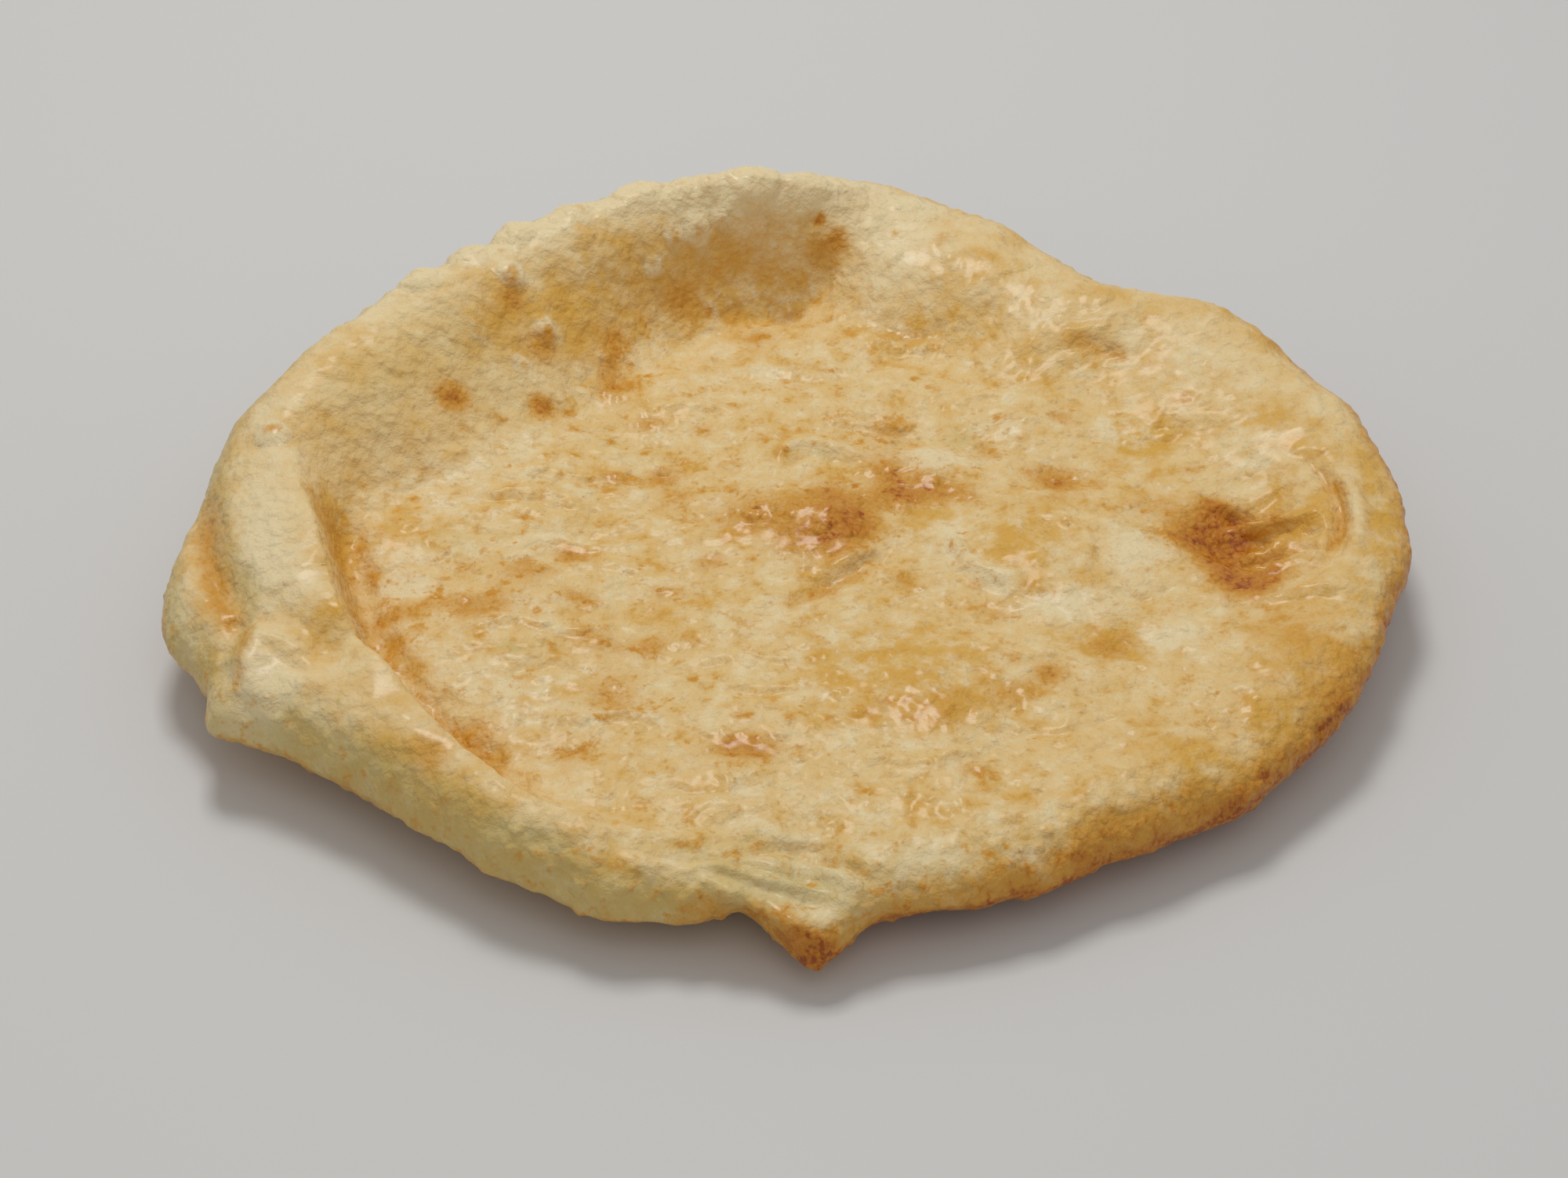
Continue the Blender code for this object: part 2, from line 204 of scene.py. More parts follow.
# Browned places, with painted shade on the right-hand rim among them: x, y, strength, half-length,
# half-width, turn in degrees.
BROWNED_AND_SHADE = (
    # scorched hump in the middle
    (7.5, 2.5, 0.66, 7.4, 8.4, 0),
    (12.5, 3.0, 0.45, 3.2, 6.4, -20),
    (7.5, 10.5, 0.4, 4.4, 3.2, 0),
    (2.5, -3.0, 0.32, 5.5, 3.4, -10),
    (-4.0, 4.0, 0.3, 5.5, 4.9, 0),
    (20.0, 14.0, 0.5, 5.1, 4.9, 10),
    (27.5, 14.0, 0.42, 5.5, 3.2, 0),
    (-10.0, 6.0, 0.25, 6.1, 5.5, 0),
    # behind the scorch
    (17.0, 22.0, 0.22, 6.1, 4.9, 0),
    (17.8, 31.3, 0.4, 4.0, 3.2, 0),
    (16.5, 17.6, 0.22, 3.2, 3.6, 0),
    # marks in the folds, and the right-hand rim, which is partly browner and partly painted shade
    (36.5, -41.7, 0.3, 4.5, 3.5, 0),
    (53.5, -29.0, 0.36, 4.5, 2.2, 0),
    (20.8, 60.4, 0.3, 5.5, 1.6, -10),
    (57.0, 51.0, 0.34, 5.0, 1.4, -15),
    (90.0, -38.0, 0.26, 8.0, 22.0, 30),
    (70.0, -50.0, 0.12, 16.0, 10.0, 30),
    # navel at the right
    (76.5, 8.0, 0.75, 3.7, 3.2, 0),
    (71.0, 0.5, 0.72, 4.8, 5.4, 0),
    (76.0, 0.0, 0.68, 4.2, 6.4, 0),
    (80.5, 0.5, 0.6, 4.6, 4.6, 0),
    (75.5, -8.0, 0.76, 4.1, 4.9, 0),
    (79.5, -13.5, 0.85, 4.6, 3.9, 0),
    (87.0, -1.0, 0.14, 7.3, 7.3, 0),
    (66.0, 8.0, 0.26, 6.1, 4.1, 0),
    (84.0, -9.0, 0.3, 4.9, 4.9, 0),
    # spots behind and to the right
    (49.0, 16.0, 0.62, 4.1, 4.1, 0),
    (44.5, 19.0, 0.32, 3.2, 2.4, 0),
    (50.0, 34.5, 0.45, 2.1, 1.8, 0),
    (73.0, 36.0, 0.42, 1.7, 1.6, 0),
    (73.0, 19.0, 0.38, 2.0, 1.8, 0),
    (61.0, 49.0, 0.3, 2.4, 1.6, 0),
    (35.5, 25.0, 0.28, 2.7, 3.2, 0),
    (43.5, -37.0, 0.55, 2.8, 2.7, 0),
    (36.0, -20.0, 0.28, 3.2, 2.4, 0),
    (20.0, -12.0, 0.28, 2.4, 2.2, 0),
    # foot of the back wall
    (-33.0, 44.0, 0.5, 3.4, 3.7, 0),
    (-6.0, 62.5, 0.45, 3.2, 2.4, 0),
    # left of the middle
    (-31.0, 16.0, 0.42, 2.7, 2.6, 0),
    (-23.0, 17.5, 0.5, 3.7, 3.0, 15),
    (-21.0, 10.5, 0.25, 3.7, 2.9, 0),
    (-25.5, 32.5, 0.42, 2.9, 2.0, 0),
    (-39.5, 31.0, 0.3, 1.6, 1.6, 0),
    (-16.0, 31.0, 0.26, 2.1, 2.1, 0),
    (-37.5, -4.5, 0.46, 3.9, 2.3, -20),
    (-36.0, -17.0, 0.44, 3.9, 2.1, -20),
    (-43.5, -11.5, 0.3, 3.2, 2.1, 25),
    (-59.0, -18.5, 0.32, 4.6, 2.6, 0),
    (-51.5, -20.0, 0.42, 5.9, 4.1, 10),
    (-47.5, -10.5, 0.32, 4.4, 2.7, 25),
    (-20.5, -15.0, 0.32, 5.4, 1.6, 0),
    (-14.0, -7.0, 0.45, 3.4, 2.6, 0),
    (-55.5, -8.0, 0.26, 2.1, 1.7, 0),
    (-31.0, -29.0, 0.28, 7.0, 2.6, 0),
    (-22.5, -28.0, 0.28, 3.7, 2.7, 0),
    (-35.0, -26.0, 0.3, 2.1, 1.7, 0),
    (-29.0, -42.0, 0.32, 4.9, 5.4, 0),
    (-67.0, -20.5, 0.42, 2.7, 2.7, 0),
    (-66.0, -29.0, 0.3, 3.4, 4.9, 20),
    (-50.0, -51.0, 0.3, 3.9, 3.7, 0),
    (-36.0, -55.0, 0.3, 4.4, 3.9, 0),
    # towards the front
    (-6.5, -55.0, 0.68, 5.6, 3.0, 0),
    (-7.0, -48.0, 0.3, 2.1, 1.7, 0),
    (23.0, -47.0, 0.24, 9.8, 4.9, 0),
    (30.0, -61.0, 0.3, 2.7, 1.7, 0),
    (-57.0, -62.5, 0.36, 3.7, 3.7, -45),
    # drawn-out front corner
    (1.0, -91.5, 0.45, 6.1, 2.4, -25),
    (5.0, -94.0, 0.4, 4.4, 2.7, 0),
    (-12.0, -87.5, 0.3, 4.9, 2.0, 0),
)

# Browned places of the back wall, with a broad band that is partly painted glow through the thin wall: x,
# y, z, strength, radius.
BROWNED_WALL_AND_GLOW = (
    (-61.0, 30.0, 24.0, 0.8, 3.2),
    (-45.5, 34.5, 18.0, 0.75, 2.4),
    (-53.0, 29.5, 19.0, 0.45, 1.6),
    (-33.0, 53.5, 20.0, 0.55, 3.4),
    (-33.0, 49.0, 17.0, 0.4, 2.6),
    (-46.0, 45.5, 24.5, 0.55, 3.2),
    (-51.5, 51.0, 31.0, 0.6, 2.6),
    (9.5, 79.0, 25.0, 0.6, 2.3),
    (6.0, 77.0, 24.0, 0.28, 4.0),
    (-15.0, 66.5, 17.0, 0.5, 1.2),
    (-11.5, 67.5, 16.0, 0.5, 1.3),
    # broad band across the wall: partly browning, partly painted glow of light through the thin wall
    (-17.0, 71.0, 23.5, 0.18, 7.0),
    (-27.0, 63.5, 21.5, 0.16, 6.5),
    (-7.0, 76.5, 24.5, 0.18, 7.5),
    (-20.0, 66.5, 19.5, 0.4, 3.4),
    (6.0, 81.0, 29.0, 1.8, 0.7),
)

# Browned lines along creases and grooves, partly browning and partly painted shade in them: strength, width
# of each side, then the points that the line follows.
STREAKS = (
    # inner face of the left roll, and the line of its foot, partly painted shade on that face
    (0.28, 2.8, (-83, 1), (-79, -5), (-75, -18), (-70, -28)),
    (0.26, 1.4, (-67, -32), (-57, -47), (-46, -61), (-38, -70)),
    # groove beside the outer lip, and the pinch at its end, partly painted shade in the groove
    (0.42, 2.6, (-102, 2), (-100, -10), (-96, -25), (-91, -33)),
    (0.3, 1.4, (-90, -33), (-90.5, -41), (-91, -46)),
    # arc at the right, and the streak out of the navel
    (0.45, 0.6, (94, 16), (96.5, 9), (97, 3), (95.7, -3), (93, -8)),
    (0.5, 1.2, (77, 8.5), (83, 5.5), (88, 5)),
    (0.6, 1.5, (75, 9), (76, 3), (75, -3), (77, -9)),
    # right of the scorch, and in the wrinkle before it
    (0.3, 2.2, (14, 9), (22, 11), (30, 11), (36, 9)),
    (0.3, 1.4, (-2, -19), (6, -14), (15, -8)),
    # below the folded front edge
    (0.5, 1.2, (-8, -87), (-3, -89), (0, -91.5), (5, -93)),
)

# Golden, more see-through places; pale or floury ones; and greyish-olive ones, in the columns of the
# browned places. Some of them are painted light: golden and olive ones on the rims, the front, the left
# roll and the valley at the right are partly painted shade, golden ones on the back wall partly painted
# glow, and some pale ones a painted glint and painted light on the back crest.
GOLDEN = (
    # back wall: partly golden dough, partly painted glow of light through the thin wall
    (-38, 57, 0.7, 10, 6, 40),
    (-23, 68, 0.75, 15, 7, 27),
    (-7, 76, 0.7, 11, 6, 20),
    (4, 78, 0.8, 7, 5, 10),
    (-53, 43, 0.3, 8, 10, -50),
    (34, 70, 1.0, 7, 4.5, -10),
    (26, 61, 1.0, 10, 2.6, -8),
    (38, 60, 0.4, 6, 3, 0),
    (50, 66, 0.35, 8, 5, 0),
    (64, 27, 1.1, 6, 6, 0),
    (41, -5, 1.0, 8, 9, 0),
    (18, -37, 0.9, 13, 12, 10),
    (24, -46, 0.45, 9, 6, 0),
    # valley at the right: partly golden dough, partly painted shade in it
    (57, -28, 0.9, 5.5, 2.4, 0),
    (46, -27, 0.45, 6, 2.4, 0),
    (65, -57, 0.5, 6, 4, 0),
    # right-hand rim: partly golden dough, partly painted shade
    (82, -52, 0.8, 4, 9, 40),
    (71, 42, 0.35, 7, 5, 0),
    (24, 6, 0.5, 5, 6, 0),
    (99, -12, 0.5, 5, 24, 0),
    (105, 6, 0.5, 4, 18, 0),
    # right-hand rim: partly golden dough, partly painted shade
    (88, -41, 0.8, 7, 12, 30),
    (84, 0, 0.7, 11, 12, 0),
    (81, 57, 0.25, 11, 8, -20),
    (6, 3, 0.6, 11, 11, 0),
    # inner face of the left roll, the groove beside its outer lip and the pinch: partly golden dough,
    # partly painted shade
    (-79, -4, 0.65, 3.5, 10, 10),
    (-72, -24, 0.5, 3, 8, 30),
    (-98, -14, 0.6, 3, 14, 20),
    (-77, -36, 0.6, 4, 5, -40),
    (-103, 4, 0.4, 2, 10, 0),
    (-56, -62, 0.5, 6, 5, -45),
    (-67, -49, 0.3, 5, 4, -45),
    (-37, -79, 0.2, 9, 4, 0),
    (-14, -29, 0.35, 2.4, 2, 0),
    (37, -69, 0.35, 14, 6, 10),
    (87, 29, 0.5, 9, 3, -20),
    (12, -86, 0.35, 6, 5, 0),
    (-50, 22, 0.2, 9, 6, 0),
    (-57, 6, 0.3, 8, 4, 0),
    (60, -70, 0.35, 16, 5, 25),
    (74, 44, 0.8, 8, 4, -35),
    (88, 28, 0.8, 9, 4, -40),
    # valley at the right: partly golden dough, partly painted shade in it
    (52, -29, 0.6, 7, 3.5, 0),
    (37, -42, 0.5, 5, 4, 0),
)
FLOURY_AND_LIGHT = (
    (-66.5, -13, 1.7, 3.6, 3.4, 0),
    (-51, 22, 0.45, 8, 5, 30),
    (-62, 12, 0.4, 6, 4, 0),
    (-63, -35, 0.3, 6, 9, 30),
    (-47, -40, 0.42, 11, 7, -40),
    (-42, -1, 0.35, 8, 3, 10),
    (-41, -20, 0.35, 5, 3, 0),
    (-28, -12, 0.2, 8, 4, 0),
    (25.5, 21.5, 1.3, 5, 3, 0),
    (38, 32, 0.45, 7, 4, 0),
    (29, -2, 0.9, 1.8, 6, 12),
    (34, -12.5, 0.6, 6, 2, -30),
    (61, -5, 0.8, 5, 9, 0),
    (47, -19, 0.8, 8, 3.2, 0),
    (65, -28, 0.5, 6, 5, 0),
    (59, 32, 0.35, 4, 4, 0),
    (-1, 49, 0.35, 16, 6, 5),
    (21, 74, 0.45, 7, 8, 0),
    (11.5, -4, 0.6, 3, 1.6, 0),
    (7, -28, 0.3, 7, 4, 0),
    (-8, -23, 0.3, 8, 4, 0),
    (85, 20, 0.3, 6, 5, 0),
    (99, 3, 0.45, 2, 12, 0),
    (-89, -20, 1.0, 4, 11, 10),
    (-82, -24, 0.5, 3, 9, 20),
    (-92, -7, 0.3, 6, 10, 0),
    (-87, -45, 1.5, 7, 5, -40),
    (-93, -47, 0.8, 4, 3, 0),
    (-103, -26, 0.6, 4, 12, 20),
    (-90, 5, 0.5, 6, 5, 0),
    (-60, -55, 0.3, 16, 3, -45),
    (4, -82, 0.6, 9, 4, -10),
    # painted highlight: a small white glint on the front rim
    (37, -79, 0.75, 4, 2, 0),
    (21, -80, 0.35, 8, 4, 0),
    (-1, -73, 0.3, 12, 4, 0),
    (-34, -80, 0.25, 7, 4, 0),
    (-74, -54, 0.3, 6, 5, -40),
    # pale band along the back crest: partly pale crust, partly painted light where the crest catches the
    # key
    (-16, 83, 1.5, 30, 6, 12),
    (-50, 66, 1.1, 18, 5, 38),
    (-78, 44, 0.5, 16, 5, 52),
    (24, 88, 0.5, 14, 4, -15),
    (-92, 17, 0.5, 7, 5, 60),
    (78, 42, 0.3, 22, 9, -35),
    (2, -85, 1.0, 8, 4, -5),
    (20, 80, 0.4, 12, 5, -20),
    (45, 62, 0.3, 10, 8, -30),
)
OLIVE = (
    (-74, 27, 0.35, 14, 8, 55),
    (-60, 40, 0.25, 12, 6, 45),
    (-52, 33, 0.25, 9, 6, 40),
    (-46.5, -31.5, 0.8, 2.6, 1.8, 0),
    (-41, -30.5, 0.5, 2.6, 2, 0),
    (31, 28.5, 0.6, 4, 3.4, 0),
    (-60, -2, 0.3, 7, 5, 0),
    (-30, 24, 0.3, 9, 6, 0),
    (-14, -22, 0.3, 6, 3, 0),
    (-92, -30, 0.3, 3, 6, 0),
    # painted shade on the front rim
    (-5, -82, 0.4, 10, 3, -8),
    (7, 22.5, 0.5, 6, 1.6, -25),
    (60, 4, 0.3, 4, 6, 0),
    (78, -34, 0.2, 8, 6, 0),
    # painted shade on the top of the folded front corner and along the front rim
    (3, -84, 0.6, 9, 4, 0),
    (-5, -78, 0.3, 40, 6, 0),
)

# Fine ridges and creases of the skin, in the columns of FOLDS.
WRINKLES = (
    # round the front corner
    (-1.0, 1.1, (-16, -78.5), (-6, -81.5), (4, -83)),
    (1.2, 1.2, (-14, -80), (-5, -83), (5, -85)),
    (-1.0, 1.1, (-13, -82), (-3, -84.5), (6.5, -87)),
    (-1.0, 1.0, (-1, -76), (6.5, -79.5), (13.5, -84)),
    (1.0, 1.2, (1, -78), (7, -82), (12, -86)),
    (-0.8, 1.0, (-9.5, -78), (-1, -76.8), (6, -75)),
    (-0.7, 1.0, (-24, -80), (-15, -80), (-8, -78)),
    (1.5, 1.1, (-13, -83.5), (-7.5, -85.8), (-2.7, -87.5), (0.6, -89.5), (5, -91.5)),
    # rays and arc by the navel at the right
    (1.5, 1.3, (80, 4.5), (86, 4.4), (95, 2)),
    (-1.5, 1.2, (77, 8), (83, 6), (89, 7)),
    (1.5, 1.2, (78.5, -4), (84, -4), (88, 0)),
    (-1.4, 1.2, (81, 1.5), (87, 1), (94, -2)),
    (1.4, 1.2, (82, -11), (88, -9), (93, -10)),
    (-1.0, 1.2, (82, -8), (88, -6), (93, -6)),
    (1.0, 1.3, (83, -18), (89, -18), (94, -19)),
    (-1.4, 1.1, (94, 16), (96.5, 9), (97, 3), (95.7, -3), (93, -8)),
    (1.2, 1.6, (97, 13), (99.5, 5), (99, -4), (96, -13)),
    # above and below the scorch
    (1.0, 1.1, (6, -10), (11, -6), (16, -4)),
    (-1.0, 1.1, (-4, -22), (1, -20), (6, -20)),
    (1.0, 1.0, (26, 6), (29, -2), (32, -9), (39, -14)),
    (1.1, 1.0, (-2, 21.5), (2.3, 25.6), (9.4, 24.9), (14, 20.3)),
    (-1.0, 0.9, (-1, 18.8), (4.7, 22.3), (11.4, 20.2)),
    (0.9, 1.0, (4.5, 33), (11.7, 31.8), (17.8, 31), (23.6, 32.7)),
    (-0.8, 0.9, (6, 35), (12, 34), (18, 33.5)),
    (0.8, 0.9, (-6.7, 10.2), (-4.2, 13.3), (0.7, 14.5)),
    # floor left of the middle
    (0.8, 1.2, (-52, 14), (-44, 17), (-36, 16), (-29, 19)),
    (-0.7, 1.1, (-56, 8), (-47, 9), (-38, 7)),
    (0.7, 1.1, (-50, -3), (-42, -1), (-33, -3), (-25, -1)),
    (-0.7, 1.1, (-42, -10), (-33, -9), (-25, -11)),
    (0.7, 1.1, (-55, -27), (-46, -24), (-37, -26), (-28, -23)),
    (-0.7, 1.2, (-48, -38), (-39, -35), (-30, -37)),
    (0.7, 1.2, (-38, -48), (-28, -46), (-19, -48)),
    (-0.6, 1.1, (-24, -63), (-14, -65), (-3, -63)),
    (0.7, 1.1, (-18, -34), (-8, -32), (1, -34)),
    (-0.7, 1.1, (-14, -40), (-5, -42), (4, -41)),
    (0.7, 1.2, (-28, 36), (-18, 38), (-9, 36)),
    (-0.7, 1.1, (-16, 46), (-5, 48), (5, 46), (14, 48)),
    # floor right of the middle
    (0.8, 1.2, (30, 38), (37, 41), (45, 39)),
    (-0.5, 1.2, (52, 50), (57.6, 51.5), (63, 48)),
    (0.8, 1.2, (51, 53), (58, 54), (65, 50)),
    (-0.8, 1.3, (16, 64.2), (20.8, 60.6), (27.4, 59.8), (30, 62)),
    (0.8, 1.3, (14, 60), (21, 57), (29, 56.5)),
    (0.8, 1.2, (44, 6), (50, 2), (52, -5), (50, -11)),
    (-0.8, 1.2, (54, -15), (61, -17), (67, -14)),
    (0.7, 1.2, (30, -30), (38, -33), (47, -31)),
    (-0.7, 1.2, (33, -50), (43, -52), (54, -48)),
    (0.7, 1.2, (10, -57), (20, -59), (31, -56)),
    # left tip and its pinch
    (-1.0, 1.1, (-88, -36), (-83, -41), (-77, -44)),
    (0.8, 1.2, (-92, -37), (-88, -43), (-84, -50)),
    (-0.8, 1.0, (-94, -39), (-91, -45), (-88, -50)),
)

# Heights between which the floor turns to smooth rim, the floor's skin to the wall's, and the
# wall's to the crest's.
FLOOR_TO_RIM = (16.5, 22.0)
FLOOR_TO_WALL = (17.0, 24.0)
WALL_TO_CREST = (31.0, 36.0)

# Small waves of the skin: their size and height. The crinkle is weaker off the crust.
SKIN_CRINKLE = (2.4, 0.25)
SKIN_SWELL = (11.0, 0.6)

# Scattered round bumps: spacing, largest radius and the share of places that have one. They are the
# larger bubbles, the pits of the middle, and the two sizes of freckle.
LARGE_BUBBLES = (5.5, 2.6, 0.5)
PITS = (3.6, 1.2, 0.4)
FRECKLES = ((9.0, 2.8, 0.35), (5.0, 1.7, 0.3))
SMALL_BUBBLE_SHARE = 0.8

# How far the edges of painted places wander, and the size of a wander.
WANDER = 1.5
WANDER_SIZE = 4.0

# Blisters under this radius have a browned middle.
BROWNED_BLISTER = 3.5

# Sizes of the material's clouds, and distances between its cells, in metres.
BROAD_SIZE = 0.013
PATCH_SIZE = 0.0055
MOTTLE_SIZE = 0.0024
GRAIN_SIZE = 0.0008
BUBBLE_GAP = 0.0022
BEAD_GAP = 0.0013
SPECK_GAP = 0.0048

BREAD_NAME = "bread"
NODE_NAME = "bhatura"
SLOT_NAME = "fried_dough"
TONE_NAME = "tone"
CRUST_NAME = "crust"


# ---------------------------------------------------------------- numbers and noise


def smooth(t):
    """Nought to one with level ends: three t squared less two t cubed."""
    t = np.clip(t, 0.0, 1.0)
    return t * t * (3.0 - 2.0 * t)


def between(t, low, high):
    """Nought below low, one above high, smooth in between."""
    return smooth((t - low) / (high - low))


def hermite(t, start, end, start_slope, end_slope):
    """The cubic from start to end with the given slopes, for t from nought to one."""
    t2 = t * t
    t3 = t2 * t
    return (
        start * (2.0 * t3 - 3.0 * t2 + 1.0)
        + start_slope * (t3 - 2.0 * t2 + t)
        + end * (3.0 * t2 - 2.0 * t3)
        + end_slope * (t3 - t2)
    )


def patches(x, y, size, seed):
    """Heights from minus one to one drawn at the corners of a square lattice, blended smoothly."""
    draws = np.random.default_rng(seed).uniform(-1.0, 1.0, (64, 64))
    u, v = x / size + 32.0, y / size + 32.0
    i, j = np.floor(u).astype(int), np.floor(v).astype(int)
    s, t = smooth(u - i), smooth(v - j)
    i, j = i % 63, j % 63
    near = draws[i, j] * (1 - s) + draws[i + 1, j] * s
    far = draws[i, j + 1] * (1 - s) + draws[i + 1, j + 1] * s
    return near * (1 - t) + far * t


def lattice(points, size, seed):
    """The same in space: minus one to one, drawn at the corners of a lattice of cubes."""
    draws = np.random.default_rng(seed).uniform(-1.0, 1.0, (48, 48, 48))
    scaled = points / size + 1000.0
    whole = np.floor(scaled)
    share = smooth(scaled - whole)
    cell = whole.astype(int)
    total = np.zeros(len(points))
    for corner in np.ndindex(2, 2, 2):
        at = (cell + corner) % 48
        weight = np.where(corner, share, 1.0 - share).prod(axis=1)
        total += weight * draws[at[:, 0], at[:, 1], at[:, 2]]
    return total


def layered(points, size, seed, layers=3):
    """Lattice heights at a size, half that size and so on, each half as high as the last."""
    parts = [lattice(points, size / 2**k, seed + k) / 2**k for k in range(layers)]
    return sum(parts) / (2.0 - 0.5 ** (layers - 1))


def domes(points, spacing, radius, share, seed):
    """Round bumps one high, one in each cube of a lattice: the square of one less the squared
    distance over the squared radius. Only that share of the cubes has one."""
    draws = np.random.default_rng(seed).uniform(0.0, 1.0, (40, 40, 40, 5))
    scaled = points / spacing + 1000.0
    cell = np.floor(scaled).astype(int)
    best = np.zeros(len(points))
    for corner in np.ndindex(3, 3, 3):
        near = cell + corner - 1
        drawn = draws[near[:, 0] % 40, near[:, 1] % 40, near[:, 2] % 40]
        gap = np.linalg.norm(scaled - near - drawn[:, :3], axis=1) * spacing
        size = radius * (0.55 + 0.45 * drawn[:, 3])
        dome = np.clip(1.0 - (gap / size) ** 2, 0.0, 1.0) ** 1.5
        best = np.maximum(best, np.where(drawn[:, 4] < share, dome * size / radius, 0.0))
    return best


# ---------------------------------------------------------------- the bread's form


def rim_values(bearing):
    """Reach, lift, edge, crest, inset and fall at each bearing: a cubic between neighbouring
    stations, with the slope at each taken from its two neighbours, and the pulls and waves on it."""
    table = np.array(RIM, float)
    turn = np.array([360.0] + [0.0] * (table.shape[1] - 1))
    table = np.concatenate([table[-2:] - turn, table, table[:2] + turn])
    at, values = table[:, 0], table[:, 1:]
    slopes = (values[2:] - values[:-2]) / (at[2:] - at[:-2])[:, None]
    degrees = np.degrees(bearing) % 360.0
    left = np.clip(np.searchsorted(at, degrees, side="right") - 1, 1, len(at) - 3)
    gap = at[left + 1] - at[left]
    t = ((degrees - at[left]) / gap)[:, None]
    span = gap[:, None]
    found = hermite(t, values[left], values[left + 1], slopes[left - 1] * span, slopes[left] * span)
    for centre, half, reach, lift, edge, crest in PULLS:
        away = (degrees - centre + 180.0) % 360.0 - 180.0
        pull = np.exp(-((away / half) ** 2))
        found[:, :5] += pull[:, None] * np.array([reach, lift, edge, crest, reach])
    for number, height, phase in WAVES:
        wave = height * np.sin(number * bearing + phase)
        found[:, 0] += wave
        found[:, 4] += wave
        found[:, 3] += CREST_WAVE * height * np.cos(number * bearing + phase)
    return found.T


def smooth_line(points, steps):
    """Points along a smooth curve through the given ones, a cubic from each to the next."""
    points = np.array(points, float)
    padded = np.concatenate([[2 * points[0] - points[1]], points, [2 * points[-1] - points[-2]]])
    slopes = (padded[2:] - padded[:-2]) / 2
    t = np.linspace(0.0, 1.0, steps, endpoint=False)[:, None]
    parts = [
        hermite(t, points[i], points[i + 1], slopes[i], slopes[i + 1])
        for i in range(len(points) - 1)
    ]
    return np.concatenate(parts + [points[-1:]])


def distance_to_line(x, y, points, steps=6):
    """Distance to the smooth line through the points, and a strength that fades at its two ends."""
    curve = smooth_line(points, steps)
    share = np.linspace(0.0, 1.0, len(curve))
    nearest = np.full(x.shape, np.inf)
    along = np.zeros(x.shape)
    for (ax, ay), (bx, by), start, end in zip(curve[:-1], curve[1:], share[:-1], share[1:]):
        dx, dy = bx - ax, by - ay
        at = np.clip(((x - ax) * dx + (y - ay) * dy) / (dx * dx + dy * dy), 0.0, 1.0)
        gap = np.hypot(x - ax - at * dx, y - ay - at * dy)
        closer = gap < nearest
        nearest = np.where(closer, gap, nearest)
        along = np.where(closer, start + at * (end - start), along)
    return nearest, 0.3 + 0.7 * smooth(along / 0.2) * smooth((1.0 - along) / 0.2)


def hill(x, y, spot):
    """Height of one swelling: its rise times e to the minus squared distance, in half-lengths."""
    cx, cy, rise, half_length, half_width, turn = spot
    c, s = math.cos(math.radians(turn)), math.sin(math.radians(turn))
    along = ((x - cx) * c + (y - cy) * s) / half_length
    across = ((y - cy) * c - (x - cx) * s) / half_width
    return rise * np.exp(-(along**2 + across**2))


def radii_from(points, place, radius):
    """Distance of each point from a place in space, as a number of radii."""
    return np.linalg.norm(points - np.array(place), axis=1) / radius


def ball(points, spot):
    """The same round a point in space: the strength times e to the minus squared distance."""
    *place, strength, radius = spot
    return strength * np.exp(-(radii_from(points, place, radius) ** 2))


def relief(x, y):
    """Height of the folds, swellings and uneven sag at a place on the top."""
    height = sum(hill(x, y, spot) for spot in SWELLS)
    for rise, width, *points in FOLDS:
        gap, fade = distance_to_line(x, y, points)
        height = height + rise * fade * np.exp(-((gap / width) ** 2))
    for k, (size, rise) in enumerate(PATCHES):
        height = height + rise * patches(x, y, size, SEED + k)
    return height


def top_surface(bearing, ring, floor_rings, fall_rings, nose_rings):
    """Points of the top by bearing and ring number. The radius runs over the floor, down the fall
    and round the nose, a quarter ellipse. The height is the floor's plus the crest's share and the
    relief, drawn to the edge's height by the cosine of the turn round the nose."""
    reach, _, edge, crest, inset, fall = rim_values(bearing)
    floor_share = np.clip(ring / floor_rings, 0.0, 1.0)
    fall_share = np.clip((ring - floor_rings) / fall_rings, 0.0, 1.0)
    nose_turn = np.clip((ring - floor_rings - fall_rings) / nose_rings, 0.0, 1.0) * math.pi / 2
    flat_reach = reach - inset - fall
    radius = flat_reach * floor_share + fall * fall_share + inset * np.sin(nose_turn)
    x, y = radius * np.cos(bearing), radius * np.sin(bearing)
    sheet = FLOOR + (crest - FLOOR) * smooth(fall_share) ** TOE + relief(x, y)
    z = edge + (sheet - edge) * np.cos(nose_turn)
    return np.stack([x, y, z], axis=1)


def under_surface(bearing, turn, share):
    """Points of the underside: turn rounds the lower nose, share then runs in to the flat base. The
    height is the lift times the squared way out from the base, with the nose on it."""
    reach, lift, edge, _, inset, _ = rim_values(bearing)
    nose = 0.7 * inset
    base = BASE_SHARE * reach
    radius = (reach - nose * (1.0 - np.cos(turn))) * (1.0 - share) + base * share
    x, y = radius * np.cos(bearing), radius * np.sin(bearing)
    lift = lift + UNDER_WAVE * patches(x, y, PATCHES[0][0], SEED)
    raised = lift * ((radius - base) / (reach - base)) ** 2
    z = raised + (edge - raised) * (1.0 - np.sin(turn))
    return np.stack([x, y, z], axis=1)


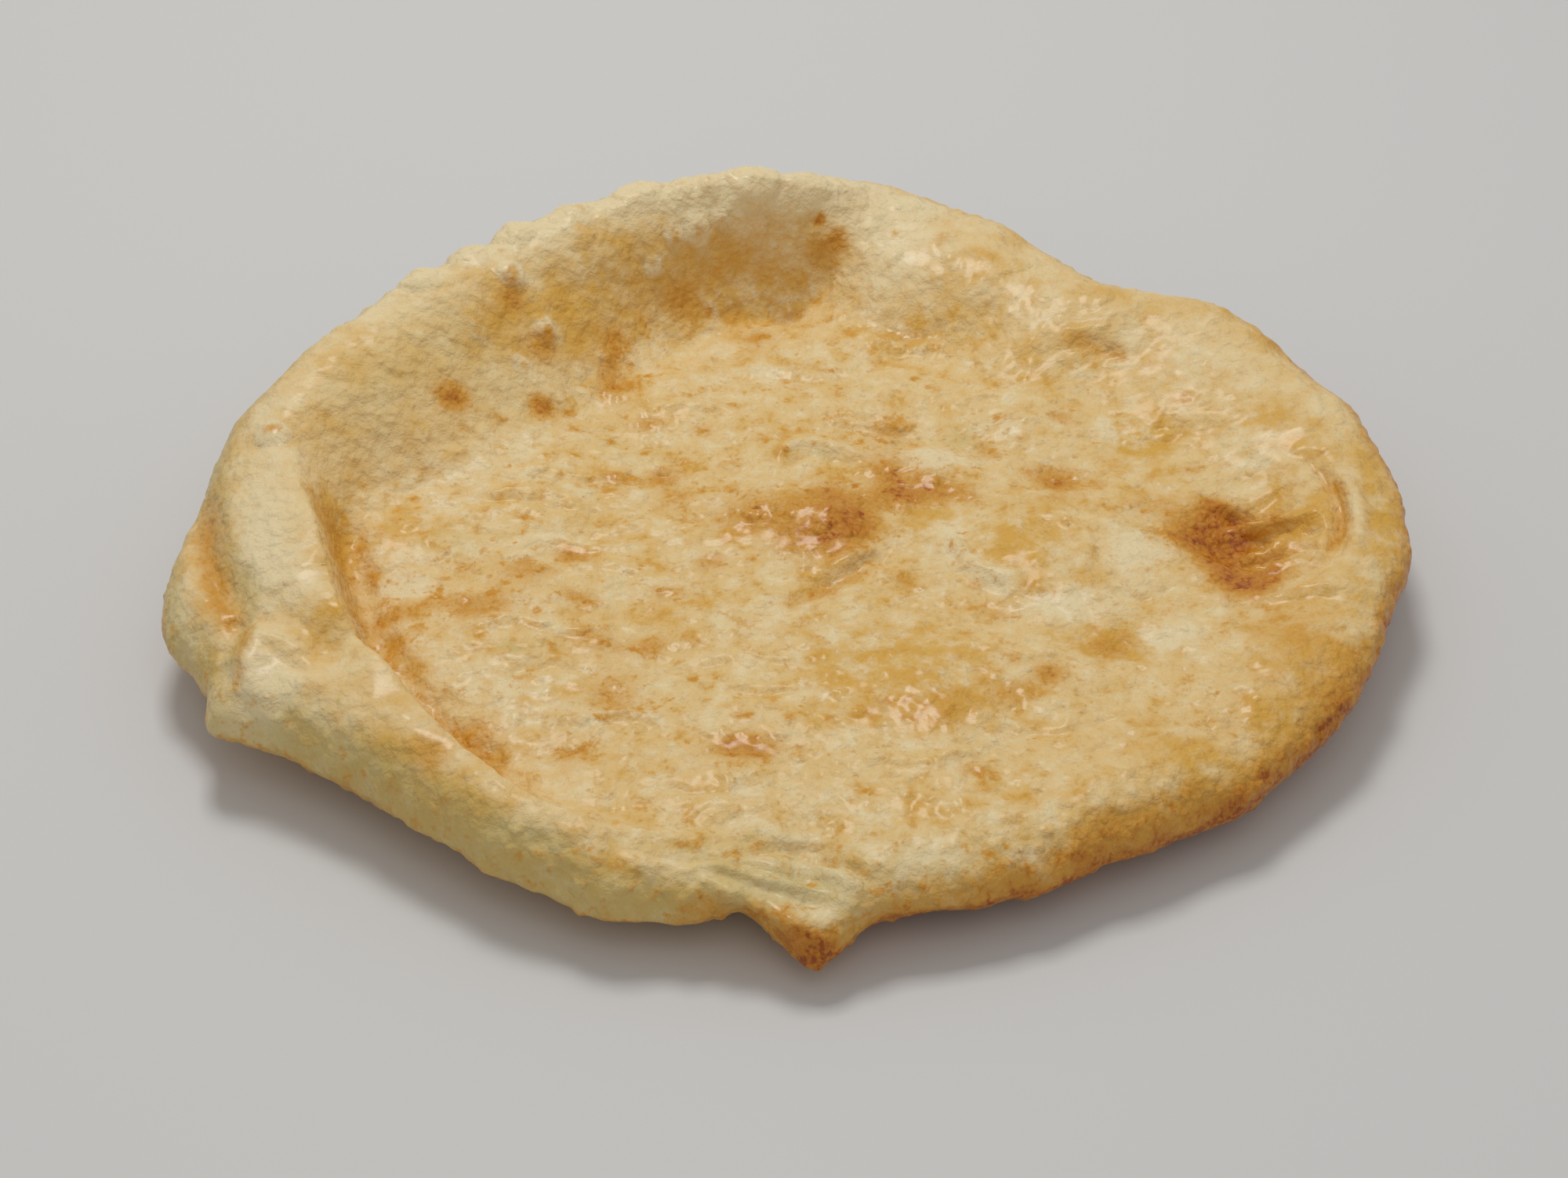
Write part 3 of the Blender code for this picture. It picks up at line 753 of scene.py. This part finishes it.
def wrapped_grid(half):
    """A square grid bent round to a disc: bearing and ring number of each of its points, and the
    grid of their indices. The ring is the larger of the two distances from the middle."""
    step = np.arange(-half, half + 1)
    u, v = [axis.ravel() for axis in np.meshgrid(step, step, indexing="ij")]
    ring = np.maximum(np.abs(u), np.abs(v))
    wide = np.abs(u) >= np.abs(v)
    main = np.where(wide, u, v)
    turn = np.where(wide, v, -u) / np.where(main == 0, 1, main) * math.pi / 4
    start = np.where(wide, np.where(u < 0, math.pi, 0.0), np.where(v < 0, 1.5, 0.5) * math.pi)
    return start + turn, ring, np.arange(len(u)).reshape(len(step), len(step))


def border_of(grid):
    """Indices round the outside of a grid, counter-clockwise seen from above, without repeats."""
    return np.concatenate([grid[:-1, 0], grid[-1, :-1], grid[:0:-1, -1], grid[0, :0:-1]])


def grid_quads(grid):
    """The quads of a grid whose points run along x and then y, facing up."""
    return np.stack([grid[:-1, :-1], grid[1:, :-1], grid[1:, 1:], grid[:-1, 1:]], axis=-1).reshape(-1, 4)


def ring_quads(outer, inner):
    """The quads between two rings of as many points, facing down where the inner one is below."""
    return np.stack([outer, inner, np.roll(inner, -1), np.roll(outer, -1)], axis=-1)


def corner_angles(quads, points):
    """The angle at each corner of each quad, between its two sides."""
    ahead = points[np.roll(quads, -1, axis=1)] - points[quads]
    behind = points[np.roll(quads, 1, axis=1)] - points[quads]
    sizes = np.linalg.norm(ahead, axis=2) * np.linalg.norm(behind, axis=2)
    return np.arccos(np.clip((ahead * behind).sum(axis=2) / np.maximum(sizes, 1e-12), -1.0, 1.0))


def triangles_of(quads, points):
    """Two triangles for each quad, cut between the two opposite corners with the larger angles."""
    a, b, c, d = quads.T
    angles = corner_angles(quads, points)
    first = (angles[:, 0] + angles[:, 2] >= angles[:, 1] + angles[:, 3])[:, None]
    one = np.where(first, np.stack([a, b, c], 1), np.stack([a, b, d], 1))
    two = np.where(first, np.stack([a, c, d], 1), np.stack([b, c, d], 1))
    return np.concatenate([one, two])


def normals_of(points, triangles):
    """Unit normal at each point, the sum of its triangles' normals weighted by their areas."""
    corners = points[triangles]
    facing = np.cross(corners[:, 1] - corners[:, 0], corners[:, 2] - corners[:, 0])
    total = np.zeros_like(points)
    for k in range(3):
        np.add.at(total, triangles[:, k], facing)
    return total / np.maximum(np.linalg.norm(total, axis=1, keepdims=True), 1e-12)


def bread_form(floor_rings, fall_rings, nose_rings, under_nose_rings, under_rings):
    """Points and triangles of the whole bread before its skin: the wrapped grid of the top, rings
    down from its border, and a coarser wrapped grid for the base, joined by fans of four."""
    half = floor_rings + fall_rings + nose_rings
    bearing, ring, grid = wrapped_grid(half)
    points = [top_surface(bearing, ring, floor_rings, fall_rings, nose_rings)]
    quads = [grid_quads(grid)]
    count = len(points[0])

    outer = border_of(grid)
    around = bearing[outer]
    turns = [(k / under_nose_rings * math.pi / 2, 0.0) for k in range(1, under_nose_rings + 1)]
    runs = [(math.pi / 2, k / under_rings) for k in range(1, under_rings + 1)]
    for turn, share in turns + runs:
        inner = count + np.arange(len(outer))
        points.append(under_surface(around, turn, share))
        quads.append(ring_quads(outer, inner))
        outer = inner
        count += len(outer)

    base_half = half // 4
    base_bearing, base_ring, base_grid = wrapped_grid(base_half)
    base_grid = base_grid + count
    rim = points[-1]
    hold = border_of(base_grid)
    share = (base_ring / base_half * BASE_GRID_SHARE)[:, None]
    nearest = np.interp(base_bearing % (2 * math.pi), *sorted_pair(around, np.arange(len(around))))
    points.append(rim[nearest.round().astype(int) % len(rim)] * share)
    quads.append(grid_quads(base_grid)[:, ::-1])

    four = outer.reshape(-1, 4)
    after = np.roll(four[:, 0], -1)
    fans = [np.stack([four[:, k], hold, four[:, k + 1]], 1) for k in range(3)]
    last = [
        np.stack([four[:, 3], hold, after], 1),
        np.stack([after, hold, np.roll(hold, -1)], 1),
    ]
    points = np.concatenate(points)
    return points, np.concatenate([triangles_of(np.concatenate(quads), points)] + fans + last)


def sorted_pair(angles, values):
    """Angles from nought to a full turn in order, with their values."""
    angles = angles % (2 * math.pi)
    order = np.argsort(angles)
    return angles[order], values[order]


# ---------------------------------------------------------------- the bread's skin


def skin_height(points, normals, shape):
    """How far the skin stands out along its normal: folded and plain noise and domes, less the pits,
    with the wrinkles and single blisters at their own places. The wall is the high part behind."""
    x, y, z = points.T
    wall = between(z, *FLOOR_TO_WALL) * between(y + 0.35 * x, -5.0, 25.0)
    top = between(normals[:, 2], 0.1, 0.5)
    rough = 0.35 + 0.65 * crust_share(points)
    folds = 1.0 - np.abs(layered(points, shape.wrinkle_size / MM, SEED + 20)) * 2.2
    height = shape.wrinkle_height / MM * (folds - 0.6) * rough
    size, rise = SKIN_CRINKLE
    height += rise * layered(points, size, SEED + 30, layers=2) * rough
    size, rise = SKIN_SWELL
    height += rise * layered(points, size, SEED + 35, layers=2)
    spacing, radius = shape.bubble_spacing / MM, shape.bubble_radius / MM
    small = domes(points, spacing, radius, SMALL_BUBBLE_SHARE, SEED + 40)
    height += shape.bubble_height / MM * (small - 0.35) * (0.8 * rough + 0.3 * wall)
    large = domes(points, *LARGE_BUBBLES, SEED + 50)
    height += (0.1 + 0.45 * wall + 0.35 * between(z, *WALL_TO_CREST)) * large
    pits = domes(points, *PITS, SEED + 60)
    height -= shape.pit_depth / MM * pits * top * (1.0 - wall)
    for rise, width, *line in WRINKLES:
        gap, fade = distance_to_line(x, y, line)
        height += rise * fade * np.exp(-((gap / width) ** 2)) * top
    for *place, radius, rise in BLISTERS:
        away = radii_from(points, place, radius)
        height += rise * np.sqrt(np.clip(1.0 - away**2, 0.0, 1.0))
    return height


def bread_tone(points, normals):
    """Browning, golden tint, flouriness and olive tint at each point, from nought to one, with painted
    light in them. The painted places are hills whose edges wander. The outer side and underside are browner
    and more golden, and the outer
    side more olive away from the right: partly toasting, partly painted shade. A pale ring on each blister
    is a painted highlight."""
    x, y, _ = points.T
    ragged = layered(points, WANDER_SIZE, SEED + 70)
    wander = np.stack([layered(points, WANDER_SIZE, SEED + 80 + k) for k in range(3)], axis=1)
    moved = points + WANDER * wander * (0.3 + 0.7 * crust_share(points)[:, None])
    bx, by, _ = moved.T
    outward = (normals[:, 0] * x + normals[:, 1] * y) / np.maximum(np.hypot(x, y), 1.0)
    side = between(outward, 0.3, 1.0)
    below = between(-normals[:, 2], -0.25, 0.5)
    top = 1.0 - below

    browned_and_shade = sum(hill(bx, by, spot) for spot in BROWNED_AND_SHADE)
    browned_and_shade = browned_and_shade + sum(ball(moved, spot) for spot in BROWNED_WALL_AND_GLOW)
    for strength, width, *line in STREAKS:
        gap, fade = distance_to_line((x + bx) / 2, (y + by) / 2, line)
        browned_and_shade = browned_and_shade + strength * fade * np.exp(-((gap / width) ** 2))
    freckles = sum(domes(moved, *sizes, SEED + 75 + 2 * k) for k, sizes in enumerate(FRECKLES))
    freckled = 0.3 * freckles * (1.0 - between(outward, 0.15, 0.6))
    browned_and_shade = (browned_and_shade * (1.15 + 0.3 * ragged) + freckled) * top
    right = between(x - 0.3 * y, 0.0, 90.0)
    # painted shade: the outer side and underside are browned more, most at the right, partly as toasting
    # and partly for shade
    browned_and_shade += side * (0.04 + 0.72 * right) * (1.0 + 0.7 * ragged)
    browned_and_shade += below * (0.3 + 1.2 * right) * (1.0 + 0.7 * ragged)
    # the outer side and underside are also more golden, partly painted shade
    golden_and_painted_light = sum(hill(bx, by, spot) for spot in GOLDEN) * top + 0.7 * side + 0.5 * below
    floury_and_light = sum(hill(bx, by, spot) for spot in FLOURY_AND_LIGHT) * top
    # painted highlight: a pale ring round each blister; the small ones also get a browned middle
    for *place, radius, rise in BLISTERS:
        away = radii_from(points, place, radius)
        floury_and_light += 0.7 * rise * np.exp(-(((away - 0.7) / 0.3) ** 2))
        if radius < BROWNED_BLISTER:
            browned_and_shade += 0.25 * rise * np.exp(-((away / 0.4) ** 2))
    # the outer side is more olive away from the right, partly painted shade
    olive_and_shade = sum(hill(bx, by, spot) for spot in OLIVE) * top + side * (1.0 - right)
    return np.clip(np.stack([browned_and_shade, golden_and_painted_light, floury_and_light, olive_and_shade], axis=1), 0.0, 1.0)


def crust_share(points):
    """How crusty and speckled the skin is: one over the floor, less at its right-hand end, and a
    quarter on the high smooth rim."""
    x, _, z = points.T
    high = between(z, *FLOOR_TO_RIM)
    return 1.0 - 0.75 * high - 0.25 * between(x, 25.0, 60.0) * (1.0 - high)


def bread_mesh(shape):
    """The whole bread as one closed mesh with its tone painted on its points."""
    points, triangles = bread_form(
        shape.floor_rings, shape.fall_rings, shape.nose_rings, shape.under_nose_rings, shape.under_rings
    )
    normals = normals_of(points, triangles)
    tone = bread_tone(points, normals)
    crust = crust_share(points)
    points = points + normals * skin_height(points, normals, shape)[:, None]
    points[:, 2] = np.maximum(points[:, 2], 0.0)
    points = (points - np.array([MIDDLE[0], MIDDLE[1], 0.0])) * MM

    mesh = bpy.data.meshes.new(BREAD_NAME)
    mesh.vertices.add(len(points))
    mesh.vertices.foreach_set("co", points.ravel())
    mesh.loops.add(triangles.size)
    mesh.loops.foreach_set("vertex_index", triangles.ravel())
    mesh.polygons.add(len(triangles))
    mesh.polygons.foreach_set("loop_start", np.arange(0, triangles.size, 3))
    mesh.update(calc_edges=True)
    mesh.shade_smooth()
    painted = mesh.attributes.new(TONE_NAME, "FLOAT_COLOR", "POINT")
    painted.data.foreach_set("color", tone.ravel())
    mesh.attributes.new(CRUST_NAME, "FLOAT", "POINT").data.foreach_set("value", crust)
    if mesh.validate():
        raise RuntimeError("the bread's mesh had faults")
    return mesh


# ---------------------------------------------------------------- shader expressions


class Value:
    """A socket that arithmetic can be written on: each operation adds a Math node."""

    def __init__(self, tree, socket):
        self.tree = tree
        self.socket = socket

    def math(self, operation, *others):
        values = dict(enumerate((self,) + others))
        return self.tree.node("ShaderNodeMath", {"operation": operation}, values)

    def __add__(self, other):
        return self.math("ADD", other)

    def __sub__(self, other):
        return self.math("SUBTRACT", other)

    def __mul__(self, other):
        return self.math("MULTIPLY", other)

    def __rsub__(self, other):
        return self.tree.node("ShaderNodeMath", {"operation": "SUBTRACT"}, {0: other, 1: self})

    __radd__ = __add__
    __rmul__ = __mul__

    def between(self, low, high):
        """Nought below low, one above high, smooth in between."""
        return self.tree.node(
            "ShaderNodeMapRange",
            {"interpolation_type": "SMOOTHSTEP"},
            {"Value": self, "From Min": low, "From Max": high},
        )


class Tree:
    """A material's nodes, added one at a time."""

    def __init__(self, material):
        material.use_nodes = True
        self.tree = material.node_tree
        self.shader = self.tree.nodes["Principled BSDF"]

    def node(self, kind, settings=None, values=None, output=0):
        """Adds a node, makes its settings, then fills its sockets with values or links."""
        made = self.tree.nodes.new(kind)
        for name, setting in (settings or {}).items():
            setattr(made, name, setting)
        for name, value in (values or {}).items():
            self.fill(made.inputs[name], value)
        return Value(self, made.outputs[output])

    def fill(self, socket, value):
        """Links a Value to a socket, or sets the socket to a number or colour."""
        if isinstance(value, Value):
            self.tree.links.new(value.socket, socket)
        else:
            socket.default_value = value

    def mix(self, factor, start, end):
        """Two colours mixed."""
        settings = {"data_type": "RGBA", "blend_type": "MIX", "clamp_factor": True}
        return self.node("ShaderNodeMix", settings, {0: factor, 6: start, 7: end}, output=2)

    def noise(self, place, size, detail=2.0, roughness=0.5):
        """Cloudy noise round a half, with patches of a size in metres."""
        values = {"Vector": place, "Scale": 1.0 / size, "Detail": detail, "Roughness": roughness}
        return self.node("ShaderNodeTexNoise", {}, values)

    def cells(self, place, gap, feature="F1"):
        """Distance to the nearest of scattered points, in units of the gap between them."""
        values = {"Vector": place, "Scale": 1.0 / gap}
        return self.node("ShaderNodeTexVoronoi", {"feature": feature}, values, "Distance")


def bread_material(colours):
    """Fried dough: pale, with golden, floury and olive places, browned spots and a skin of oil. The painted
    tone also carries painted shade, glow and highlights, which these colours paint.
    Each share is a weighted sum of the painted tone and the clouds, smoothed between two ends."""
    material = bpy.data.materials.new(SLOT_NAME)
    tree = Tree(material)
    place = tree.node("ShaderNodeTexCoord", output="Object")
    tone = tree.node("ShaderNodeAttribute", {"attribute_name": TONE_NAME}, output="Color")
    olive_and_shade = tree.node("ShaderNodeAttribute", {"attribute_name": TONE_NAME}, output="Alpha")
    crust = tree.node("ShaderNodeAttribute", {"attribute_name": CRUST_NAME}, output="Fac")
    browned_and_shade, golden_and_painted_light, floury_and_light = [
        tree.node("ShaderNodeSeparateColor", {}, {"Color": tone}, output=k) for k in range(3)
    ]

    broad = tree.noise(place, BROAD_SIZE) - 0.5
    patchy = tree.noise(place, PATCH_SIZE, detail=3.0, roughness=0.6) - 0.5
    mottle = tree.noise(place, MOTTLE_SIZE, detail=3.0, roughness=0.6) - 0.5
    grain = tree.noise(place, GRAIN_SIZE, roughness=0.6) - 0.5
    bubbles = tree.cells(place, BUBBLE_GAP, feature="SMOOTH_F1")
    beads = tree.cells(place, BEAD_GAP)
    specks = tree.cells(place, SPECK_GAP)

    fine = mottle * (crust * 0.8 + 0.2)
    cloudy = patchy * (crust * 0.65 + 0.35)
    # the golden share carries painted shade and a painted glow on the back wall as well as golden dough
    tint_and_painted_light = (golden_and_painted_light * 1.8 + broad * 2.3 + cloudy * 3.0 + fine * 2.2).between(-0.25, 1.25)
    colour = tree.mix(tint_and_painted_light, colours.pale, colours.golden_and_painted_light)
    # the floury share carries painted highlights and painted light on the back crest as well as floury
    # dough
    bleach_and_light = (floury_and_light * 1.3 + cloudy * -2.2 + fine * 2.4 - broad * 0.8 + 0.18).between(-0.1, 1.1)
    colour = tree.mix(bleach_and_light, colour, colours.floury_and_light)
    # the olive share carries painted shade on the outer side and the front rim as well as olive dough
    dull_and_shade = (olive_and_shade + (patchy * 0.6 - broad * 0.8) * crust).between(0.0, 1.0)
    colour = tree.mix(dull_and_shade * 0.7, colour, colours.olive_and_shade)

    speck = (1.0 - specks.between(0.08, 0.3)) * (mottle + patchy).between(-0.05, 0.15) * crust
    blotches = (mottle + patchy * 0.5 + grain * 0.4).between(0.0, 0.3) * crust
    heat_and_shade = browned_and_shade + mottle * browned_and_shade * 0.9 + grain * (browned_and_shade * 0.6 + 0.12) + patchy * 0.2
    heat_and_shade = heat_and_shade + (beads - 0.4) * browned_and_shade * 0.14 + speck * 0.35 + blotches * 0.4
    # the browned share carries painted shade on the outer side, the underside and in creases, so these
    # three colours paint that shade too
    colour = tree.mix(heat_and_shade.between(-0.05, 0.6), colour, colours.toasted)
    colour = tree.mix(heat_and_shade.between(0.45, 1.1), colour, colours.brown)
    colour = tree.mix(heat_and_shade.between(0.95, 1.35), colour, colours.scorched)

    tree.fill(tree.shader.inputs["Base Color"], colour)
    wet = (browned_and_shade * 1.1 + golden_and_painted_light * 0.4 + broad * 1.2 + patchy * 0.8).between(-0.35, 0.7)
    tree.fill(tree.shader.inputs["Roughness"], 0.64 - wet * 0.14 + mottle * 0.2)
    tree.fill(tree.shader.inputs["Coat Weight"], 0.06 + wet * 0.4)

    height = mottle * 0.35 + grain * 0.2 + bubbles * -0.5 + beads * (-0.12 - browned_and_shade * 0.3)
    bump = tree.node(
        "ShaderNodeBump", {}, {"Strength": 0.9, "Distance": colours.grain_height, "Height": height}
    )
    tree.fill(tree.shader.inputs["Normal"], bump)

    for name, value in {
        "Metallic": 0.0,
        "IOR": 1.45,
        "Subsurface Weight": colours.translucency,
        "Subsurface Radius": (1.0, 0.45, 0.18),
        "Subsurface Scale": 0.003,
        "Specular IOR Level": 0.26,
        "Coat Roughness": 0.2,
        "Coat IOR": 1.46,
    }.items():
        tree.shader.inputs[name].default_value = value
    return material


def plain_material(name, colour, roughness):
    """One even colour, for the floor."""
    material = bpy.data.materials.new(name)
    tree = Tree(material)
    tree.fill(tree.shader.inputs["Base Color"], colour)
    tree.fill(tree.shader.inputs["Roughness"], roughness)
    return material


# ---------------------------------------------------------------- settings


class BreadShape(bpy.types.PropertyGroup):
    """Sizes of the bread's mesh and of its skin."""

    floor_rings: IntProperty(name="Floor rings", description="Rings over the sagged middle", default=84)
    fall_rings: IntProperty(name="Fall rings", description="Rings down from the crest", default=28)
    nose_rings: IntProperty(name="Nose rings", description="Rings round the rim", default=24)
    under_nose_rings: IntProperty(name="Lower nose rings", description="Rings under the rim", default=8)
    under_rings: IntProperty(name="Underside rings", description="Rings in to the base", default=10)
    wrinkle_height: FloatProperty(
        name="Wrinkle height", description="Height of the skin's wrinkles", default=0.00045, unit="LENGTH"
    )
    wrinkle_size: FloatProperty(
        name="Wrinkle size", description="Width of a wrinkle", default=0.007, unit="LENGTH"
    )
    bubble_height: FloatProperty(
        name="Bubble height", description="Height of the small bubbles", default=0.0006, unit="LENGTH"
    )
    bubble_radius: FloatProperty(
        name="Bubble radius", description="Largest radius of the small bubbles", default=0.0017,
        unit="LENGTH",
    )
    bubble_spacing: FloatProperty(
        name="Bubble spacing", description="Distance between small bubbles", default=0.0027, unit="LENGTH"
    )
    pit_depth: FloatProperty(
        name="Pit depth", description="Depth of the pits of the middle", default=0.0005, unit="LENGTH"
    )


class BreadColours(bpy.types.PropertyGroup):
    """Colours of the fried dough."""

    pale: FloatVectorProperty(
        name="Pale", description="Lightly fried dough", subtype="COLOR", size=4,
        default=(0.82, 0.575, 0.245, 1.0),
    )
    # the floury colour also paints the highlights and the light on the back crest that the floury share
    # carries
    floury_and_light: FloatVectorProperty(
        name="Floury", description="Dough that the oil hardly reached", subtype="COLOR", size=4,
        default=(0.86, 0.70, 0.41, 1.0),
    )
    # the golden colour also paints shade on the rims, in creases, on the outer side and underside, and glow
    # on the back wall
    golden_and_painted_light: FloatVectorProperty(
        name="Golden", description="Thin, more see-through dough", subtype="COLOR", size=4,
        default=(0.73, 0.41, 0.065, 1.0),
    )
    # the olive colour also paints shade on the outer side and the front rim
    olive_and_shade: FloatVectorProperty(
        name="Olive", description="Thin dough over a hollow", subtype="COLOR", size=4,
        default=(0.62, 0.49, 0.18, 1.0),
    )
    toasted: FloatVectorProperty(
        name="Toasted", description="Edge of a browned spot", subtype="COLOR", size=4,
        default=(0.68, 0.33, 0.04, 1.0),
    )
    brown: FloatVectorProperty(
        name="Brown", description="Browned spot", subtype="COLOR", size=4,
        default=(0.56, 0.19, 0.006, 1.0),
    )
    scorched: FloatVectorProperty(
        name="Scorched", description="Darkest spot", subtype="COLOR", size=4,
        default=(0.36, 0.082, 0.003, 1.0),
    )
    translucency: FloatProperty(
        name="Translucency", description="Share of light that spreads under the skin", default=0.12,
        min=0.0, max=1.0, subtype="FACTOR",
    )
    grain_height: FloatProperty(
        name="Grain height", description="Height of the finest grain", default=0.0014, unit="LENGTH"
    )


class StageSettings(bpy.types.PropertyGroup):
    """The floor, the lights and the camera."""

    floor_colour: FloatVectorProperty(
        name="Floor", description="Colour of the floor", subtype="COLOR", size=4,
        default=(0.66, 0.65, 0.63, 1.0),
    )
    floor_side: FloatProperty(
        name="Floor side", description="Side of the floor", default=6.0, unit="LENGTH"
    )
    light_distance: FloatProperty(
        name="Light distance", description="Lights to bread", default=0.9, unit="LENGTH"
    )
    key_power: FloatProperty(
        name="Key power", description="Power of the main light", default=3.15, unit="POWER"
    )
    key_side: FloatProperty(
        name="Key side", description="Side of the main light", default=0.25, unit="LENGTH"
    )
    key_bearing: FloatProperty(
        name="Key bearing", description="Way to the main light, counter-clockwise from the right",
        default=math.radians(104.0), subtype="ANGLE",
    )
    key_elevation: FloatProperty(
        name="Key elevation", description="Height of the main light above the level",
        default=math.radians(67.0), subtype="ANGLE",
    )
    fill_power: FloatProperty(
        name="Fill power", description="Power of the fill light", default=0.5, unit="POWER"
    )
    fill_side: FloatProperty(
        name="Fill side", description="Side of the fill light", default=0.5, unit="LENGTH"
    )
    fill_bearing: FloatProperty(
        name="Fill bearing", description="Way to the fill light, counter-clockwise from the right",
        default=math.radians(285.0), subtype="ANGLE",
    )
    fill_elevation: FloatProperty(
        name="Fill elevation", description="Height of the fill light above the level",
        default=math.radians(58.0), subtype="ANGLE",
    )
    sky: FloatProperty(name="Sky", description="Strength of the even light from all round", default=0.41)
    lens: FloatProperty(name="Lens", description="Focal length in millimetres", default=70.0)
    elevation: FloatProperty(
        name="Elevation", description="Height of the camera above the level", default=math.radians(40.0),
        subtype="ANGLE",
    )
    distance: FloatProperty(name="Distance", description="Camera to bread", default=0.5242, unit="LENGTH")
    aim: FloatVectorProperty(
        name="Aim", description="Point that the camera looks at", subtype="XYZ",
        default=(-0.0019, -0.0186, 0.016),
    )


# ---------------------------------------------------------------- operators


class MESH_OT_bhatura_bread(bpy.types.Operator):
    """Makes the bread over its solid, with its skin and its fried-dough material"""

    bl_idname = "mesh.bhatura_bread"
    bl_label = "Bread"

    def execute(self, context):
        mesh = bread_mesh(context.scene.bhatura_shape)
        mesh.materials.append(bread_material(context.scene.bhatura_colours))
        bread = bpy.data.objects.new(BREAD_NAME, mesh)
        context.scene.collection.objects.link(bread)
        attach(bread, "root")
        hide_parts(NODE_NAME)
        return {"FINISHED"}


class SCENE_OT_bhatura_stage(bpy.types.Operator):
    """Makes the floor, the lights and the camera"""

    bl_idname = "scene.bhatura_stage"
    bl_label = "Stage"

    def execute(self, context):
        scene = context.scene
        stage = scene.bhatura_stage
        self.add_floor(scene, stage)
        for name in ("key", "fill"):
            self.add_light(scene, stage, name)
        world = bpy.data.worlds.new("even_light")
        world.use_nodes = True
        background = world.node_tree.nodes["Background"]
        background.inputs["Color"].default_value = (1.0, 1.0, 1.0, 1.0)
        background.inputs["Strength"].default_value = stage.sky
        scene.world = world
        scene.view_settings.view_transform = "Standard"

        camera = bpy.data.objects.new("camera", bpy.data.cameras.new("camera"))
        camera.data.lens = stage.lens
        camera.data.clip_start = 0.01
        aim = Vector(stage.aim)
        back = Vector((0.0, -math.cos(stage.elevation), math.sin(stage.elevation)))
        camera.location = aim + back * stage.distance
        camera.rotation_euler = back.to_track_quat("Z", "Y").to_euler()
        scene.collection.objects.link(camera)
        scene.camera = camera
        return {"FINISHED"}

    def add_floor(self, scene, stage):
        """A square at the height that the bread lies on."""
        half = stage.floor_side / 2
        corners = [(-half, -half, 0), (half, -half, 0), (half, half, 0), (-half, half, 0)]
        mesh = bpy.data.meshes.new("floor")
        mesh.from_pydata(corners, [], [(0, 1, 2, 3)])
        mesh.materials.append(plain_material("floor", stage.floor_colour, 0.6))
        floor = bpy.data.objects.new("floor", mesh)
        scene.collection.objects.link(floor)

    def add_light(self, scene, stage, name):
        """A square lamp that faces the bread, with the power, side and way of its name."""
        lamp = bpy.data.lights.new(name, "AREA")
        lamp.energy = getattr(stage, name + "_power")
        lamp.size = getattr(stage, name + "_side")
        turn = getattr(stage, name + "_bearing")
        rise = getattr(stage, name + "_elevation")
        level = Vector((math.cos(turn), math.sin(turn), 0.0))
        way = level * math.cos(rise) + Vector((0.0, 0.0, math.sin(rise)))
        light = bpy.data.objects.new(name, lamp)
        light.location = way * stage.light_distance
        light.rotation_euler = way.to_track_quat("Z", "Y").to_euler()
        scene.collection.objects.link(light)


class VIEW3D_PT_bhatura(bpy.types.Panel):
    """Lists the bread's and the stage's operators with their settings"""

    bl_label = "Bhatura"
    bl_space_type = "VIEW_3D"
    bl_region_type = "UI"
    bl_category = "Bhatura"

    def draw(self, context):
        scene = context.scene
        for group in (scene.bhatura_shape, scene.bhatura_colours):
            for name in type(group).__annotations__:
                self.layout.prop(group, name)
        self.layout.operator(MESH_OT_bhatura_bread.bl_idname)
        for name in StageSettings.__annotations__:
            self.layout.prop(scene.bhatura_stage, name)
        self.layout.operator(SCENE_OT_bhatura_stage.bl_idname)


CLASSES = (
    BreadShape,
    BreadColours,
    StageSettings,
    MESH_OT_bhatura_bread,
    SCENE_OT_bhatura_stage,
    VIEW3D_PT_bhatura,
)
GROUPS = {"bhatura_shape": BreadShape, "bhatura_colours": BreadColours, "bhatura_stage": StageSettings}


def register():
    for item in CLASSES:
        bpy.utils.register_class(item)
    for name, group in GROUPS.items():
        setattr(bpy.types.Scene, name, PointerProperty(type=group))


def unregister():
    for name in GROUPS:
        delattr(bpy.types.Scene, name)
    for item in reversed(CLASSES):
        bpy.utils.unregister_class(item)


def main():
    register()
    bpy.ops.mesh.bhatura_bread()
    bpy.ops.scene.bhatura_stage()
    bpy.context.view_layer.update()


if __name__ == "__main__":
    main()
